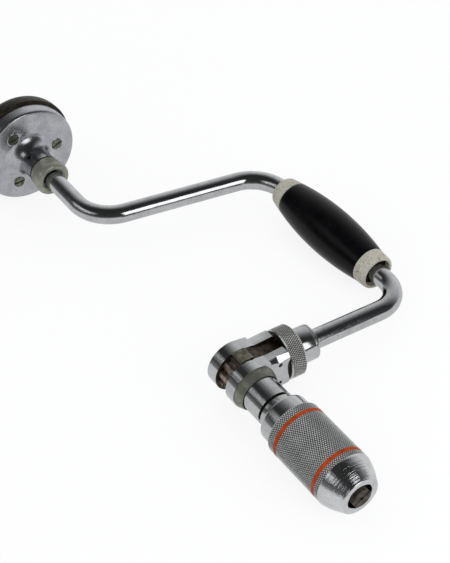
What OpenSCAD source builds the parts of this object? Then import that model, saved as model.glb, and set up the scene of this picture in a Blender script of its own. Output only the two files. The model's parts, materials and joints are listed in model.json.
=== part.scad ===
// Ratchet hand brace lying on its side, in millimetres.
// The drilling axis is X and leaves the chuck mouth at the origin towards +X.
// The crank is thrown out towards +Y and lies in the plane Z = 0.
// Places along the drilling axis are counted backwards from the mouth.

/* [Crank] */
// Distance from the drilling axis to the handle, half of the sweep
throw = 125; // [110:5:160]
// Diameter of the crank rod
rod_d = 13; // [11:0.5:14]
// Radius of the neck bend and the head-side bend, on the rod's centreline
bend_r = 27; // [23:1:29]
// Radius of the chuck-side bend, on the rod's centreline
foot_bend_r = 20; // [16:1:24]
// Length of the handle side between its two corners
handle_len = 153.5; // [150:0.5:190]
// How far the head-side arm leans back over the throw
upper_lean = 24.4; // [10:0.2:40]
// How far the chuck-side arm leans forward over the throw
lower_lean = 7.4; // [4:0.2:10]
// Length of the neck from its corner to the bearing shoulder
neck_len = 56.4; // [50:0.2:90]
// Diameter of the turned journal that the head runs on
journal_d = 11; // [8:0.5:12]
// Length of the turned journal
journal_len = 44.4; // [40:0.2:48]

/* [Head] */
// Diameter of the wooden dome
dome_d = 75.6; // [70:0.2:90]
// Height of the dome above the rim of its plate
dome_h = 21; // [16:0.5:30]
// Diameter of the head plate
plate_d = 71.6; // [67:0.2:92]
// Depth of the plate's cup
plate_depth = 10.4; // [8:0.1:14]
// Thickness of the plate's floor
plate_floor = 4; // [3:0.2:6]
// Wall of the plate's rim
plate_wall = 2.2; // [1.5:0.1:4]
// Diameter of the quill under the plate
quill_d = 21.4; // [20:0.2:28]
// Length of the quill under the plate
quill_len = 20; // [14:0.5:34]
// Radius of the flare between quill and plate
quill_flare = 10; // [4:0.5:12]
// Circle through the three plate screws
screw_pcd = 43.6; // [42:0.2:56]
// Diameter of a plate screw's head
screw_head_d = 8; // [6:0.5:9]
// Diameter of a plate screw's shank
screw_d = 4.2; // [3:0.1:5]
// Length of a plate screw below its head
screw_len = 16; // [10:0.5:18]
// Diameter of the oil hole in the quill
oil_hole_d = 2.6; // [1.5:0.1:4]
// Thickness of the fibre washer behind the head collar
washer_t = 1.6; // [1:0.1:3]
// Length of the head collar
collar_len = 12.5; // [11:0.5:16]
// Large diameter of the head collar
collar_d = 25.4; // [24:0.2:30]
// Diameter of the head collar where it meets the washer
collar_small_d = 22.9; // [21.5:0.1:24]
// Rounding of the head collar's front edge
collar_round = 3.2; // [1:0.2:3.4]
// Diameter of the hole that the rod passes through in the head collar
collar_bore_d = 14.8; // [14:0.2:16]
// Diameter of the thrust flange shrunk on the journal
flange_d = 18.4; // [18.2:0.1:18.8]
// Thickness of the thrust flange
flange_t = 4.5; // [3:0.1:5]

/* [Grip] */
// Distance from the chuck-side corner to the front end of the grip
grip_inset = 28.7; // [26:0.2:34]
// Distance from the rear end of the grip to the head-side corner
grip_outset = 21.8; // [21:0.2:40]
// Largest diameter of the grip barrel
barrel_d = 33.2; // [28:0.2:42]
// Radius of the long curve of the barrel's side
barrel_curve = 218; // [180:2:400]
// Length over which the barrel swells from its front end
barrel_widest = 40.6; // [30:0.2:44]
// Length over which the barrel narrows to its rear end
barrel_taper = 40.9; // [30:0.1:44]
// Length of the front ferrule
front_ferrule_len = 10; // [8:0.5:16]
// Diameter of the front ferrule at its open end
front_ferrule_end_d = 23.8; // [22.6:0.2:26]
// Diameter of the recess in the front ferrule
front_recess_d = 19.8; // [17:0.2:20]
// Depth of the recess in the front ferrule
front_recess = 4.5; // [1:0.5:6]
// Length of the rear ferrule
rear_ferrule_len = 11.5; // [6:0.5:12]
// Diameter of the rear ferrule at its end
rear_ferrule_end_d = 21; // [19:0.2:24]

/* [Ratchet housing] */
// Thickness of the front cheek
front_cheek = 8; // [6:0.5:12]
// Thickness of the rear cheek
rear_cheek = 8.5; // [6:0.5:12]
// Width of the slot that holds wheel and pawls
slot_w = 10.5; // [8:0.5:14]
// Diameter of the round end of the cheeks
cheek_d = 31.2; // [30:0.2:38]
// Height of the cheeks where they meet the neck block
cheek_end_h = 27.2; // [26.4:0.2:29]
// Distance of the neck block from the drilling axis
block_start = 12; // [11:0.2:14]
// Height of the neck block
block_h = 26.4; // [24:0.2:27]
// Corner radius of the neck block
block_corner = 3.6; // [1:0.2:5]
// Diameter of the grey bearing cup in front of the housing
cup_d = 30; // [29:0.2:31]
// Diameter of the bearing cup at its front end
cup_front_d = 26.4; // [26.2:0.1:29]
// Length of the bearing cup
cup_len = 6.2; // [5.8:0.1:9]
// Floor of the bearing cup
cup_floor = 1.9; // [1:0.1:2.4]
// Number of balls in the spindle's thrust bearing
spindle_ball_count = 14; // [8:1:16]

/* [Ratchet] */
// Number of teeth on the wheel
tooth_count = 12; // [8:4:16]
// Diameter over the teeth
wheel_d = 27.2; // [26.6:0.2:28]
// Depth of the notches between the teeth
notch_depth = 2.4; // [2:0.1:2.6]
// Distance of the pawl pins from the drilling axis along the arm
pawl_pin_y = 19.3; // [18.4:0.1:20]
// Height of each pawl pin above or below the middle
pawl_pin_z = 7.6; // [7:0.1:8]
// Diameter of the pawl pins
pawl_pin_d = 3; // [2:0.1:3.4]
// Depth of the pin ends below the faces of the housing
pawl_pin_recess = 2; // [0.3:0.1:2.4]

/* [Selector ring] */
// Diameter of the knurled selector ring
ring_d = 33.4; // [31:0.2:38]
// Length of the selector ring
ring_len = 11.3; // [10:0.1:16]
// Distance of the ring's front face from the drilling axis, along the arm
ring_start = 27.6; // [27.4:0.1:30]
// Width of the bevels on the selector ring
ring_bevel = 1.3; // [0.5:0.1:2]
// Depth of the cam recess that holds the pawl heels
cam_depth = 4; // [3.4:0.1:5]
// Diameter of the cam recess
cam_d = 22.8; // [22.6:0.1:24]
// How far the cam recess is off centre
cam_offset = 1.6; // [1.4:0.1:2]
// Turn of the ring to either side of its middle place
ring_swing = 25; // [20:1:30]
// Diameter of the collar that keeps the ring on
arm_collar_d = 23; // [21:0.2:27]
// Length of the collar that keeps the ring on
arm_collar_len = 12.4; // [8:0.2:18]

/* [Chuck] */
// Diameter of the knurled sleeve
sleeve_d = 37.7; // [37:0.1:42]
// Length of the sleeve from the mouth to the end of the knurl
sleeve_len = 62.5; // [60:0.5:80]
// Length of the smooth nose
nose_len = 14.2; // [13.8:0.2:17]
// Diameter of the flat face at the mouth
nose_face_d = 26.2; // [25.4:0.2:28]
// Bulge of the nose between its two ends
nose_bulge = 0.6; // [0:0.05:0.8]
// Diameter of the mouth
mouth_d = 17.3; // [17.1:0.1:17.9]
// Wall of the sleeve behind the nose
sleeve_wall = 1.85; // [1.7:0.05:2.2]
// Place of the front coloured band
front_band = 18.9; // [18:0.2:24]
// Distance of the rear coloured band from the end of the knurl
rear_band = 7.9; // [5:0.2:12]
// Width of a coloured band
band_w = 2.6; // [1.5:0.1:4]
// Depth of the groove that holds a coloured band
band_depth = 0.55; // [0.3:0.05:0.7]
// Diameter of the smooth collar of the threaded bush
bush_collar_d = 33.2; // [30:0.2:36]
// Length of the smooth collar of the threaded bush
bush_collar_len = 10.8; // [6:0.2:16]
// Length of the bush inside the sleeve
bush_len = 19.5; // [14:0.5:20]
// Outer diameter of the chuck's thread
thread_d = 26; // [25.6:0.1:27]
// Advance of the sleeve in one turn
thread_pitch = 2.5; // [2:0.1:3]
// Depth of the thread
thread_depth = 0.7; // [0.4:0.1:1]
// Length of the smooth land behind the thread
land_len = 4.3; // [2:0.1:8]
// Diameter of the smooth land behind the thread
land_d = 24.6; // [22:0.2:25]
// Width of the groove between the land and the neck
groove_w = 1.9; // [1:0.1:3]
// Diameter of the groove between the land and the neck
groove_d = 22.4; // [20:0.2:23]
// Diameter of the smooth spindle neck
neck_d = 25; // [22:0.2:25.4]
// Length of the smooth spindle neck in view
neck_view = 14.8; // [10:0.2:26]
// Diameter of the spindle in the housing
spindle_d = 15; // [13:0.2:16]
// Diameter of the spindle's rear end
spindle_end_d = 12; // [9:0.2:12.5]

/* [Jaws] */
// Angle of the jaw opening from upright
jaw_turn = 31; // [0:1:90]
// Half angle of the closing cone
cone_angle = 25; // [24:0.5:26]
// How far the jaws stand out of the mouth
jaw_out = 1.6; // [0:0.1:2]
// Width across the flat sides of the jaws
jaw_w = 12.2; // [10:0.2:13]
// Gap between the jaws at rest
jaw_gap = 0.8; // [0.7:0.1:1.2]
// Diameter held by the jaws at rest
grip_hole_d = 2.5; // [2:0.1:4]
// Length of the gripping groove
grip_hole_len = 23.6; // [16:0.2:26]
// Diameter of the jaw heads
jaw_head_d = 22; // [21:0.2:22.4]
// Diameter over the jaw tails
jaw_tail_d = 17.4; // [15:0.2:17.6]
// Rear end of the jaw tails
jaw_end = 44; // [40:0.5:45]

/* [Fits] */
// Radial running clearance of shafts, journals and threads
run_fit = 0.08; // [0.04:0.01:0.1]
// Clearance between moving faces
face_gap = 0.3; // [0.2:0.05:0.4]
// Clearance on each side of a bearing ball
ball_gap = 0.05; // [0.03:0.01:0.08]

/* [Hidden] */
$fn = 96;
past = 1;
seam = 0.02;
seam_core = 1;
chamfer = 0.4;
driver_slot = 1.2;

// Places along the drilling axis, behind the mouth
bush_end = sleeve_len + bush_collar_len;
thread_end = bush_end + past;
land_end = thread_end + land_len;
neck_front = land_end + groove_w;
cup_front = neck_front + neck_view;
housing_front = cup_front + cup_len;
slot_front = housing_front + front_cheek;
slot_rear = slot_front + slot_w;
slot_mid = slot_front + slot_w / 2;
housing_rear = slot_rear + rear_cheek;
housing_mid = (housing_front + housing_rear) / 2;
arm_set_back = 1.7;
lower_foot = housing_mid + arm_set_back;
lower_corner = lower_foot - lower_lean;
upper_corner = lower_corner + handle_len;
neck_corner = upper_corner + upper_lean;
flange_front = neck_corner + neck_len;
flange_rear = flange_front + flange_t;
journal_end = flange_front + journal_len;

// The crank's corners in its own plane
head_end = [-journal_end, 0];
neck_point = [-neck_corner, 0];
upper_point = [-upper_corner, throw];
lower_point = [-lower_corner, throw];
foot_point = [-lower_foot, 0];
arm_angle = atan2(lower_lean, throw);

// Head bearing and plate
head_ball_d = 3;
head_ball_count = 12;
head_ball_ring = journal_d / 2 + 2;
race_front = flange_rear + head_ball_d + 2 * ball_gap;
collar_wall = 2.8;
collar_face = 1.2;
collar_seat = flange_front - chamfer;
collar_front = collar_seat - collar_wall;
collar_rear = collar_front + collar_len;
washer_rear = collar_rear + washer_t;
cavity_d = flange_d + 0.6;
spigot_d = cavity_d - 0.2;
plate_front = washer_rear + quill_len;
plate_rim = plate_front + plate_depth;
dome_floor = plate_front + plate_floor;
plate_corner = 2.2;
dome_fit = 0.2;
dome_spigot_r = plate_d / 2 - plate_wall - dome_fit;
dome_edge = 0.8;
dome_side = 1;
dome_power = 2.8;
screw_sink = 1.4;
screw_head_t = 2;
screw_top = plate_front + screw_sink;
screw_hole_gap = 0.3;
screw_slot_turn = 20;
screw_slot_step = 50;
screw_turn = 1.5;
oil_hole_set = 11.8;
oil_hole_place = plate_front - oil_hole_set;
oil_hole_turn = 128.9;

// Grip
grip_front = lower_corner + grip_inset;
grip_rear = upper_corner - grip_outset;
barrel_front = grip_front + front_ferrule_len;
barrel_rear = grip_rear - rear_ferrule_len;
barrel_len = barrel_rear - barrel_front;
grip_fit = 0.1;
rear_recess_d = rod_d + 1.6;
ferrule_round = 1.2;

// Housing
cheek_flat = 6;
cheek_drop = 0.9;
block_overlap = 2;
cup_bulge = 0.3;
cup_gap = 0.3;
socket_floor = 1.4;
spigot_wall = 3;
spigot_od = rod_d + 2 * spigot_wall;
ring_end = ring_start + ring_len;
seat_d = 26;
seat_t = 4;
slot_overlap = 0.4;
seat_end = ring_start - face_gap;
block_w = housing_rear - housing_front;
block_end = seat_end * cos(arm_angle) - block_w / 2 * sin(arm_angle) - 0.1;
slot_end = ring_start + cam_depth - slot_overlap;
rod_socket = slot_end + socket_floor;
spigot_end = ring_end + run_fit;
shoulder_t = 1.5;
spindle_ball_d = cup_len - cup_floor - shoulder_t - 2 * ball_gap;
spindle_shoulder = cup_front + shoulder_t;
spindle_ball_ring = spindle_d / 2 + 2.7;
cup_bore_d = neck_d + 2 * cup_gap;
spindle_end = housing_rear + face_gap;
spindle_washer_t = 1.2;
spindle_washer_d = spindle_end_d + 4;
screw_seat = spindle_end + spindle_washer_t;
spindle_head_t = 3;
spindle_screw_d = 5;
spindle_screw_len = 10;

// Ratchet
wheel_side_gap = 0.2;
root_d = wheel_d - 2 * notch_depth;
tooth_step = 360 / tooth_count;
tip_share = 0.2;
root_share = 0.37;
wheel_pin_d = 3;
pawl_travel = notch_depth / 2;
pawl_boss_r = 3.4;
pawl_w = slot_w - 2 * face_gap;
tip_gap = 0.12;
tip_r = wheel_d / 2 - pawl_travel + tip_gap;
tip_shift = 0.15;
tip_half = 0.5;
nose_half = 1.8;
nose_front = 5;
nose_back = 4.2;
nose_z = wheel_d / 2 + pawl_travel + tip_shift;
nose_t = 1.4;
crown_z = nose_z + nose_t;
crown_edge = 0.4;
crown_slope = 1.4;
shoulder_set = 0.5;
shoulder_drop = 1.3;
web_set = 7.3;
web_drop = 3.8;
heel_gap = 0.8;
heel_y = slot_end - heel_gap;
heel_z = 8.3;
heel_set = 1;
heel_rise = 0.1;
detent_d = 2.4;
detent_set = 3.6;
detent_place = ring_start + cam_depth + detent_set;
detent_floor = 2;
detent_groove_d = 1.6;
arm_pin_d = 3;
arm_pin_len = spigot_od - 0.6;
pawl_spring_d = 6;
pawl_spring_wall = 1;
pawl_spring_half = pawl_pin_z - 3.1;

// Chuck
sleeve_bore_d = sleeve_d - 2 * sleeve_wall;
rear_band_front = sleeve_len - rear_band;
mouth_land = 1.2;
race_place = 2.5;
cone_ball_d = 2;
cone_ball_ring = 11.3;
cone_ball_count = 24;
cone_front = race_place + cone_ball_d + 2 * ball_gap;
cone_rear = nose_len + 0.4;
cone_mouth_d = mouth_d;
cone_slope = tan(cone_angle);
jaw_slack = 0.4;
jaw_head_end = 18.5;
prong_front = jaw_head_end + 0.5;
prong_edge = 1;
thread_start = 2;
slot_side_gap = 0.15;
jaw_pocket_d = 8.4;
jaw_spring_d = 3.6;
jaw_spring_bore = 2;
jaw_spring_len = 6.4;
jaw_pocket_start = grip_hole_len - jaw_out;
bush_front = sleeve_len - bush_len;
bush_bore_d = thread_d + 2 * run_fit;
ring_seat_gap = 0.1;
nose_wall = 0.4;
nose_inner_d = nose_face_d - 2 * nose_wall;
nose_edge = 0.8;
mouth_edge = 0.3;
sleeve_edge = 0.6;
cone_step = 1;
retainer_d = 1.2;
retainer_depth = 0.3;
retainer_front = cone_rear + 0.2;
retainer_rear = retainer_front + retainer_d;

// Points on an arc of a circle, from one angle to another
function arc(cx, cy, r, a0, a1, n) = [for (i = [0:n])
    let (a = a0 + (a1 - a0) * i / n) [cx + r * cos(a), cy + r * sin(a)]];

// Direction from one point of the crank to the next
function heading(a, b) = atan2(b[1] - a[1], b[0] - a[0]);

// Length that a bend takes from each of its two sides
function bend_cut(turn, r) = r * tan(abs(turn) / 2);

// Radius of the closing cone at a place behind the mouth
function cone_r(s) = cone_mouth_d / 2 + (s - mouth_land) * cone_slope;

// Radius of the grip barrel at a place behind the mouth: a curve to each end, and straight
// between them where the barrel is longer than both
function barrel_r(s) = let (off = max(0, barrel_front + barrel_widest - s, s - barrel_rear + barrel_taper))
    barrel_d / 2 - barrel_curve + sqrt(pow(barrel_curve, 2) - pow(off, 2));

// Turns a profile of [radius, place] points about the drilling axis
module lathe() {
    rotate([0, -90, 0])
        rotate_extrude()
            children();
}

// A round bar on the drilling axis between two places
module bar(from, to, d) {
    rotate([0, -90, 0])
        translate([0, 0, from])
            cylinder(d = d, h = to - from);
}

// Extrudes a YZ outline along the drilling axis between two places
module along_x(from, to) {
    translate([-to, 0, 0])
        rotate([90, 0, 90])
            linear_extrude(height = to - from)
                children();
}

// Carries its children to the arm's own frame, with the arm along +Y
module on_arm() {
    translate([foot_point[0], 0, 0])
        rotate([0, 0, -arm_angle])
            children();
}

// A round bar on the arm's axis between two distances
module arm_bar(from, to, d) {
    on_arm()
        rotate([-90, 0, 0])
            translate([0, 0, from])
                cylinder(d = d, h = to - from);
}

// Turns a profile of [radius, distance] points about the arm
module arm_lathe() {
    on_arm()
        rotate([-90, 0, 0])
            rotate_extrude()
                children();
}

// A ring of bearing balls about the drilling axis
module ball_ring(place, ring_r, d, count) {
    for (i = [0:count - 1])
        rotate([360 * i / count, 0, 0])
            translate([-place, ring_r, 0])
                sphere(d = d, $fn = 24);
}

// A straight stretch of the crank rod, shortened at each end
module rod_run(a, b, cut_a, cut_b) {
    dir = heading(a, b);
    len = norm(b - a) - cut_a - cut_b;
    translate([a[0] + cut_a * cos(dir), a[1] + cut_a * sin(dir), 0])
        rotate([0, 0, dir])
            rotate([0, 90, 0])
                cylinder(d = rod_d, h = len);
}

// Short core that joins a straight stretch to a bend, at a distance from a
module rod_core(a, b, at) {
    dir = heading(a, b);
    start = at - seam_core / 2;
    translate([a[0] + start * cos(dir), a[1] + start * sin(dir), 0])
        rotate([0, 0, dir])
            rotate([0, 90, 0])
                cylinder(d = rod_d - 0.1, h = seam_core);
}

// A bend of the crank rod at the corner b, coming from a and going to c
module rod_bend(a, b, c, r) {
    dir_in = heading(a, b);
    turn = heading(b, c) - dir_in;
    side = turn > 0 ? 1 : -1;
    cut = bend_cut(turn, r);
    start = [b[0] - cut * cos(dir_in), b[1] - cut * sin(dir_in)];
    first = side > 0 ? dir_in - 90 : dir_in + 90 + turn;
    rod_core(a, b, norm(b - a) - cut);
    translate([start[0] - side * r * sin(dir_in), start[1] + side * r * cos(dir_in), 0])
        rotate([0, 0, first])
            rotate_extrude(angle = abs(turn))
                translate([r, 0])
                    circle(d = rod_d);
    rod_core(b, c, cut);
}

module crank_rod() {
    neck_cut = bend_cut(heading(neck_point, upper_point), bend_r);
    lower_cut = bend_cut(heading(lower_point, foot_point), foot_bend_r);
    near = neck_cut + seam;
    color("#8d8f90")
        difference() {
            union() {
                rod_run([-flange_front, 0], neck_point, 0, near);
                rod_bend(head_end, neck_point, upper_point, bend_r);
                rod_run(neck_point, upper_point, near, near);
                rod_bend(neck_point, upper_point, lower_point, bend_r);
                rod_run(upper_point, lower_point, near, lower_cut + seam);
                rod_bend(upper_point, lower_point, foot_point, foot_bend_r);
                rod_run(lower_point, foot_point, lower_cut + seam, rod_socket);
                bar(flange_front - past, journal_end, journal_d);
            }
            detent_hole();
            arm_pin_hole();
        }
}

// Blind hole for the detent ball and its spring
module detent_hole() {
    on_arm()
        translate([0, detent_place, detent_floor])
            cylinder(d = detent_d + 2 * ball_gap, h = spigot_od);
}

// Hole across spigot and rod for the arm pin
module arm_pin_hole() {
    on_arm()
        translate([-spigot_od, detent_place, 0])
            rotate([0, 90, 0])
                cylinder(d = arm_pin_d, h = 2 * spigot_od);
}

// Outline of the cheeks, seen along the drilling axis
module cheek_outline() {
    r = cheek_d / 2;
    e = cheek_end_h / 2;
    top = r - cheek_drop;
    circle(d = cheek_d);
    polygon([[0, -r], [cheek_flat, -top], [block_start, -e], [block_start, e], [cheek_flat, top], [0, r]]);
}

// Block between the cheeks and the selector ring, with rounded edges
module neck_block() {
    start = block_start - block_overlap;
    len = block_end - start;
    inset = block_corner;
    translate([-housing_rear, start, -block_h / 2 + inset])
        cube([block_w, len, block_h - 2 * inset]);
    translate([-housing_rear + inset, start, -block_h / 2])
        cube([block_w - 2 * inset, len, block_h]);
    for (x = [-housing_rear + inset, -housing_front - inset])
        for (z = [-block_h / 2 + inset, block_h / 2 - inset])
            translate([x, start, z])
                rotate([-90, 0, 0])
                    cylinder(r = inset, h = len);
}

module ratchet_housing() {
    color("#8f9192")
        difference() {
            union() {
                along_x(housing_front, housing_rear)
                    cheek_outline();
                neck_block();
                arm_bar(seat_end - seat_t, seat_end, seat_d);
                arm_bar(seat_end - seat_t, spigot_end, spigot_od);
            }
            translate([-slot_rear, -cheek_d, -cheek_d])
                cube([slot_w, cheek_d + slot_end, 2 * cheek_d]);
            bar(housing_front - past, slot_front + past, spindle_d + 2 * run_fit);
            bar(slot_rear - past, housing_rear + past, spindle_end_d + 2 * run_fit);
            arm_bar(rod_socket, spigot_end + past, rod_d);
            for (side = [-1, 1])
                translate([0, pawl_pin_y, side * pawl_pin_z])
                    bar(housing_front - past, housing_rear + past, pawl_pin_d);
            detent_hole();
            arm_pin_hole();
        }
}

module thrust_cup() {
    r = cup_d / 2;
    front_r = cup_front_d / 2;
    bore = spindle_d / 2 + cup_gap;
    steps = 6;
    floor_front = housing_front - cup_floor;
    color("#6c7067")
        lathe()
            polygon(concat([[cup_bore_d / 2, cup_front]],
                [for (i = [0:steps]) let (t = i / steps)
                    [front_r + (r - front_r) * t + cup_bulge * sin(180 * t), cup_front + cup_len * t]],
                [[bore, housing_front], [bore, floor_front], [cup_bore_d / 2, floor_front]]));
}

module arm_collar() {
    r = arm_collar_d / 2;
    start = spigot_end + face_gap;
    end = start + arm_collar_len;
    round = 3.4;
    color("#96989a")
        arm_lathe()
            polygon(concat([[rod_d / 2, start], [r - chamfer, start], [r, start + chamfer]],
                arc(r - round, end - round, round, 0, 80, 6),
                [[rod_d / 2, end]]));
}

module arm_pin() {
    color("#77797a")
        on_arm()
            translate([-arm_pin_len / 2, detent_place, 0])
                rotate([0, 90, 0])
                    cylinder(d = arm_pin_d, h = arm_pin_len);
}

module pawl_pins() {
    color("#5d5f60")
        for (side = [-1, 1])
            translate([0, pawl_pin_y, side * pawl_pin_z])
                bar(housing_front + pawl_pin_recess, housing_rear - pawl_pin_recess, pawl_pin_d);
}

module pawl_spring() {
    color("#6a6c6d")
        translate([-slot_mid, (pawl_pin_y + slot_end) / 2, -pawl_spring_half])
            difference() {
                cylinder(d = pawl_spring_d, h = 2 * pawl_spring_half);
                translate([0, 0, -past])
                    cylinder(d = pawl_spring_d - 2 * pawl_spring_wall, h = 2 * (pawl_spring_half + past));
            }
}

module detent_ball() {
    color("#9a9c9d")
        on_arm()
            translate([0, detent_place, spigot_od / 2 - detent_d / 2 - 2 * ball_gap])
                sphere(d = detent_d, $fn = 24);
}

module detent_spring() {
    top = spigot_od / 2 - detent_d - 3 * ball_gap;
    color("#6a6c6d")
        on_arm()
            translate([0, detent_place, detent_floor])
                cylinder(d = detent_d - chamfer, h = top - detent_floor);
}

module neck_flange() {
    color("#7f8182")
        difference() {
            bar(flange_front, flange_rear, flange_d);
            bar(flange_front - past, flange_rear + past, journal_d);
        }
}

module head_balls() {
    color("#a4a6a7")
        ball_ring(flange_rear + ball_gap + head_ball_d / 2, head_ball_ring, head_ball_d,
            head_ball_count);
}

module head_collar() {
    r = collar_d / 2;
    color("#6c7067")
        lathe()
            polygon(concat([[collar_bore_d / 2, collar_front],
                [r - collar_round + collar_face, collar_front]],
                arc(r - collar_round, collar_front + collar_round, collar_round, -55, 0, 6),
                [[collar_small_d / 2, collar_rear], [cavity_d / 2, collar_rear],
                [cavity_d / 2, collar_seat], [collar_bore_d / 2, collar_seat]]));
}

module head_washer() {
    color("#5b4536")
        difference() {
            bar(collar_rear, washer_rear, collar_small_d - chamfer);
            bar(collar_rear - past, washer_rear + past, spigot_d);
        }
}

module head_plate() {
    r = plate_d / 2;
    q = quill_d / 2;
    b = journal_d / 2 + run_fit;
    color("#8b8d8f")
        difference() {
            lathe()
                polygon(concat([[b, race_front], [spigot_d / 2, race_front],
                    [spigot_d / 2, washer_rear], [q, washer_rear]],
                    arc(q + quill_flare, plate_front - quill_flare, quill_flare, 180, 90, 8),
                    arc(r - plate_corner, plate_front + plate_corner, plate_corner, -90, 0, 5),
                    [[r, plate_rim], [r - plate_wall, plate_rim], [r - plate_wall, dome_floor],
                    [b, dome_floor]]));
            for (i = [0:2])
                rotate([screw_turn + 120 * i, 0, 0])
                    translate([0, screw_pcd / 2, 0]) {
                        bar(plate_front - past, dome_floor + past, screw_d + screw_hole_gap);
                        bar(plate_front - quill_flare, screw_top, screw_head_d + 2 * screw_hole_gap);
                    }
            rotate([oil_hole_turn, 0, 0])
                translate([-oil_hole_place, 0, 0])
                    rotate([-90, 0, 0])
                        cylinder(d = oil_hole_d, h = quill_d);
        }
}

module head_screws() {
    color("#a0a2a3")
        for (i = [0:2])
            rotate([screw_turn + 120 * i, 0, 0])
                translate([0, screw_pcd / 2, 0])
                    difference() {
                        union() {
                            bar(screw_top - screw_head_t, screw_top, screw_head_d);
                            bar(screw_top - seam, screw_top + screw_len, screw_d);
                        }
                        translate([-screw_top + screw_head_t, 0, 0])
                            rotate([screw_slot_turn + screw_slot_step * i, 0, 0])
                                cube([screw_head_t, screw_head_d + past, driver_slot], center = true);
                    }
}

module head_dome() {
    r = dome_d / 2;
    steps = 14;
    side_end = plate_rim + dome_edge + dome_side;
    crown = dome_h - dome_edge - dome_side;
    color("#2b2320")
        difference() {
            lathe()
                polygon(concat([[0, dome_floor], [dome_spigot_r, dome_floor], [dome_spigot_r, plate_rim],
                    [r - dome_edge, plate_rim], [r, plate_rim + dome_edge]],
                    [for (i = [0:steps]) let (t = 90 * i / steps)
                        [r * pow(cos(t), 2 / dome_power), side_end + crown * pow(sin(t), 2 / dome_power)]],
                    [[0, plate_rim + dome_h]]));
            bar(dome_floor - past, journal_end + past, journal_d + past);
            for (i = [0:2])
                rotate([screw_turn + 120 * i, 0, 0])
                    translate([0, screw_pcd / 2, 0])
                        bar(dome_floor - past, screw_top + screw_len, screw_d);
        }
}

module grip_barrel() {
    steps = 24;
    color("#1c1c1d")
        translate([0, throw, 0])
            lathe()
                polygon(concat([[rod_d / 2 + grip_fit, grip_front + front_recess],
                    [front_recess_d / 2, grip_front + front_recess], [front_recess_d / 2, barrel_front]],
                    [for (i = [0:steps]) let (s = barrel_front + barrel_len * i / steps)
                        [barrel_r(s), s]],
                    [[rod_d / 2 + grip_fit, barrel_rear]]));
}

module grip_ferrule_front() {
    r = front_ferrule_end_d / 2;
    color("#cfc9b8")
        translate([0, throw, 0])
            lathe()
                polygon(concat([[front_recess_d / 2, grip_front]],
                    arc(r - ferrule_round, grip_front + ferrule_round, ferrule_round, -90, -6, 5),
                    [[barrel_r(barrel_front), barrel_front], [front_recess_d / 2, barrel_front]]));
}

module grip_ferrule_rear() {
    r = rear_ferrule_end_d / 2;
    color("#cfc9b8")
        translate([0, throw, 0])
            lathe()
                polygon(concat([[rear_recess_d / 2, barrel_rear], [barrel_r(barrel_rear), barrel_rear]],
                    arc(r - ferrule_round, grip_rear - ferrule_round, ferrule_round, 10, 90, 5),
                    [[rear_recess_d / 2, grip_rear]]));
}

// Outline of the upper pawl, seen along the drilling axis: its boss, then the tip, the lower
// edge back to the heel, and the upper edge forward to the nose
module pawl_outline() {
    boss = [pawl_pin_y, pawl_pin_z];
    translate(boss)
        circle(r = pawl_boss_r);
    polygon([[tip_shift - tip_half, tip_r], [tip_shift + tip_half, tip_r],
        [tip_shift + nose_half, nose_z], [nose_front, nose_z - 1], boss + [-6.8, 2], boss + [-2, -2],
        boss + [2, -2.6], [heel_y - 1.5, heel_z - 2.8], [heel_y, heel_z - 1.6], [heel_y, heel_z],
        [ring_start - heel_set, heel_z + heel_rise], boss + [3, 3.2], boss + [-2.6, 3.6],
        [pawl_pin_y - web_set, crown_z - web_drop],
        [nose_front + shoulder_set, crown_z - shoulder_drop], [nose_front, crown_z - crown_edge],
        [nose_front - crown_slope, crown_z], [1 - nose_back, crown_z],
        [-nose_back, crown_z - 2 * crown_edge], [-nose_back, nose_z + 0.1],
        [tip_shift - nose_half, nose_z]]);
}

module pawl(side) {
    color("#6f6a60")
        difference() {
            along_x(slot_mid - pawl_w / 2, slot_mid + pawl_w / 2)
                mirror([0, side > 0 ? 0 : 1])
                    pawl_outline();
            translate([0, pawl_pin_y, side * pawl_pin_z])
                bar(slot_front - past, slot_rear + past, pawl_pin_d + 2 * run_fit);
        }
}

module pawl_upper() {
    pawl(1);
}

module pawl_lower() {
    pawl(-1);
}

module selector_ring() {
    r = ring_d / 2;
    bore = spigot_od / 2 + run_fit;
    cam_end = ring_start + cam_depth;
    color("#6e7071")
        difference() {
            arm_lathe()
                polygon([[bore, ring_start], [r - ring_bevel / 2, ring_start],
                    [r, ring_start + ring_bevel / 2], [r, ring_end - ring_bevel],
                    [r - ring_bevel, ring_end], [bore, ring_end]]);
            on_arm()
                translate([-cam_offset, ring_start - past, 0])
                    rotate([-90, 0, 0])
                        cylinder(d = cam_d, h = cam_depth + past);
            for (a = [-ring_swing, 0, ring_swing])
                on_arm()
                    rotate([0, a, 0])
                        translate([0, cam_end - past, bore])
                            rotate([-90, 0, 0])
                                cylinder(d = detent_groove_d, h = ring_len);
        }
}

// Profile of the thread as a row of shallow grooves
function thread_points(from, to, r, pitch, depth) = [for (i = [0:floor((to - from) / pitch) - 1])
    for (j = [0:3]) [r - (j == 2 ? depth : 0),
        from + pitch * (i + [0.1, 0.4, 0.65, 0.9][j])]];

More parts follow.
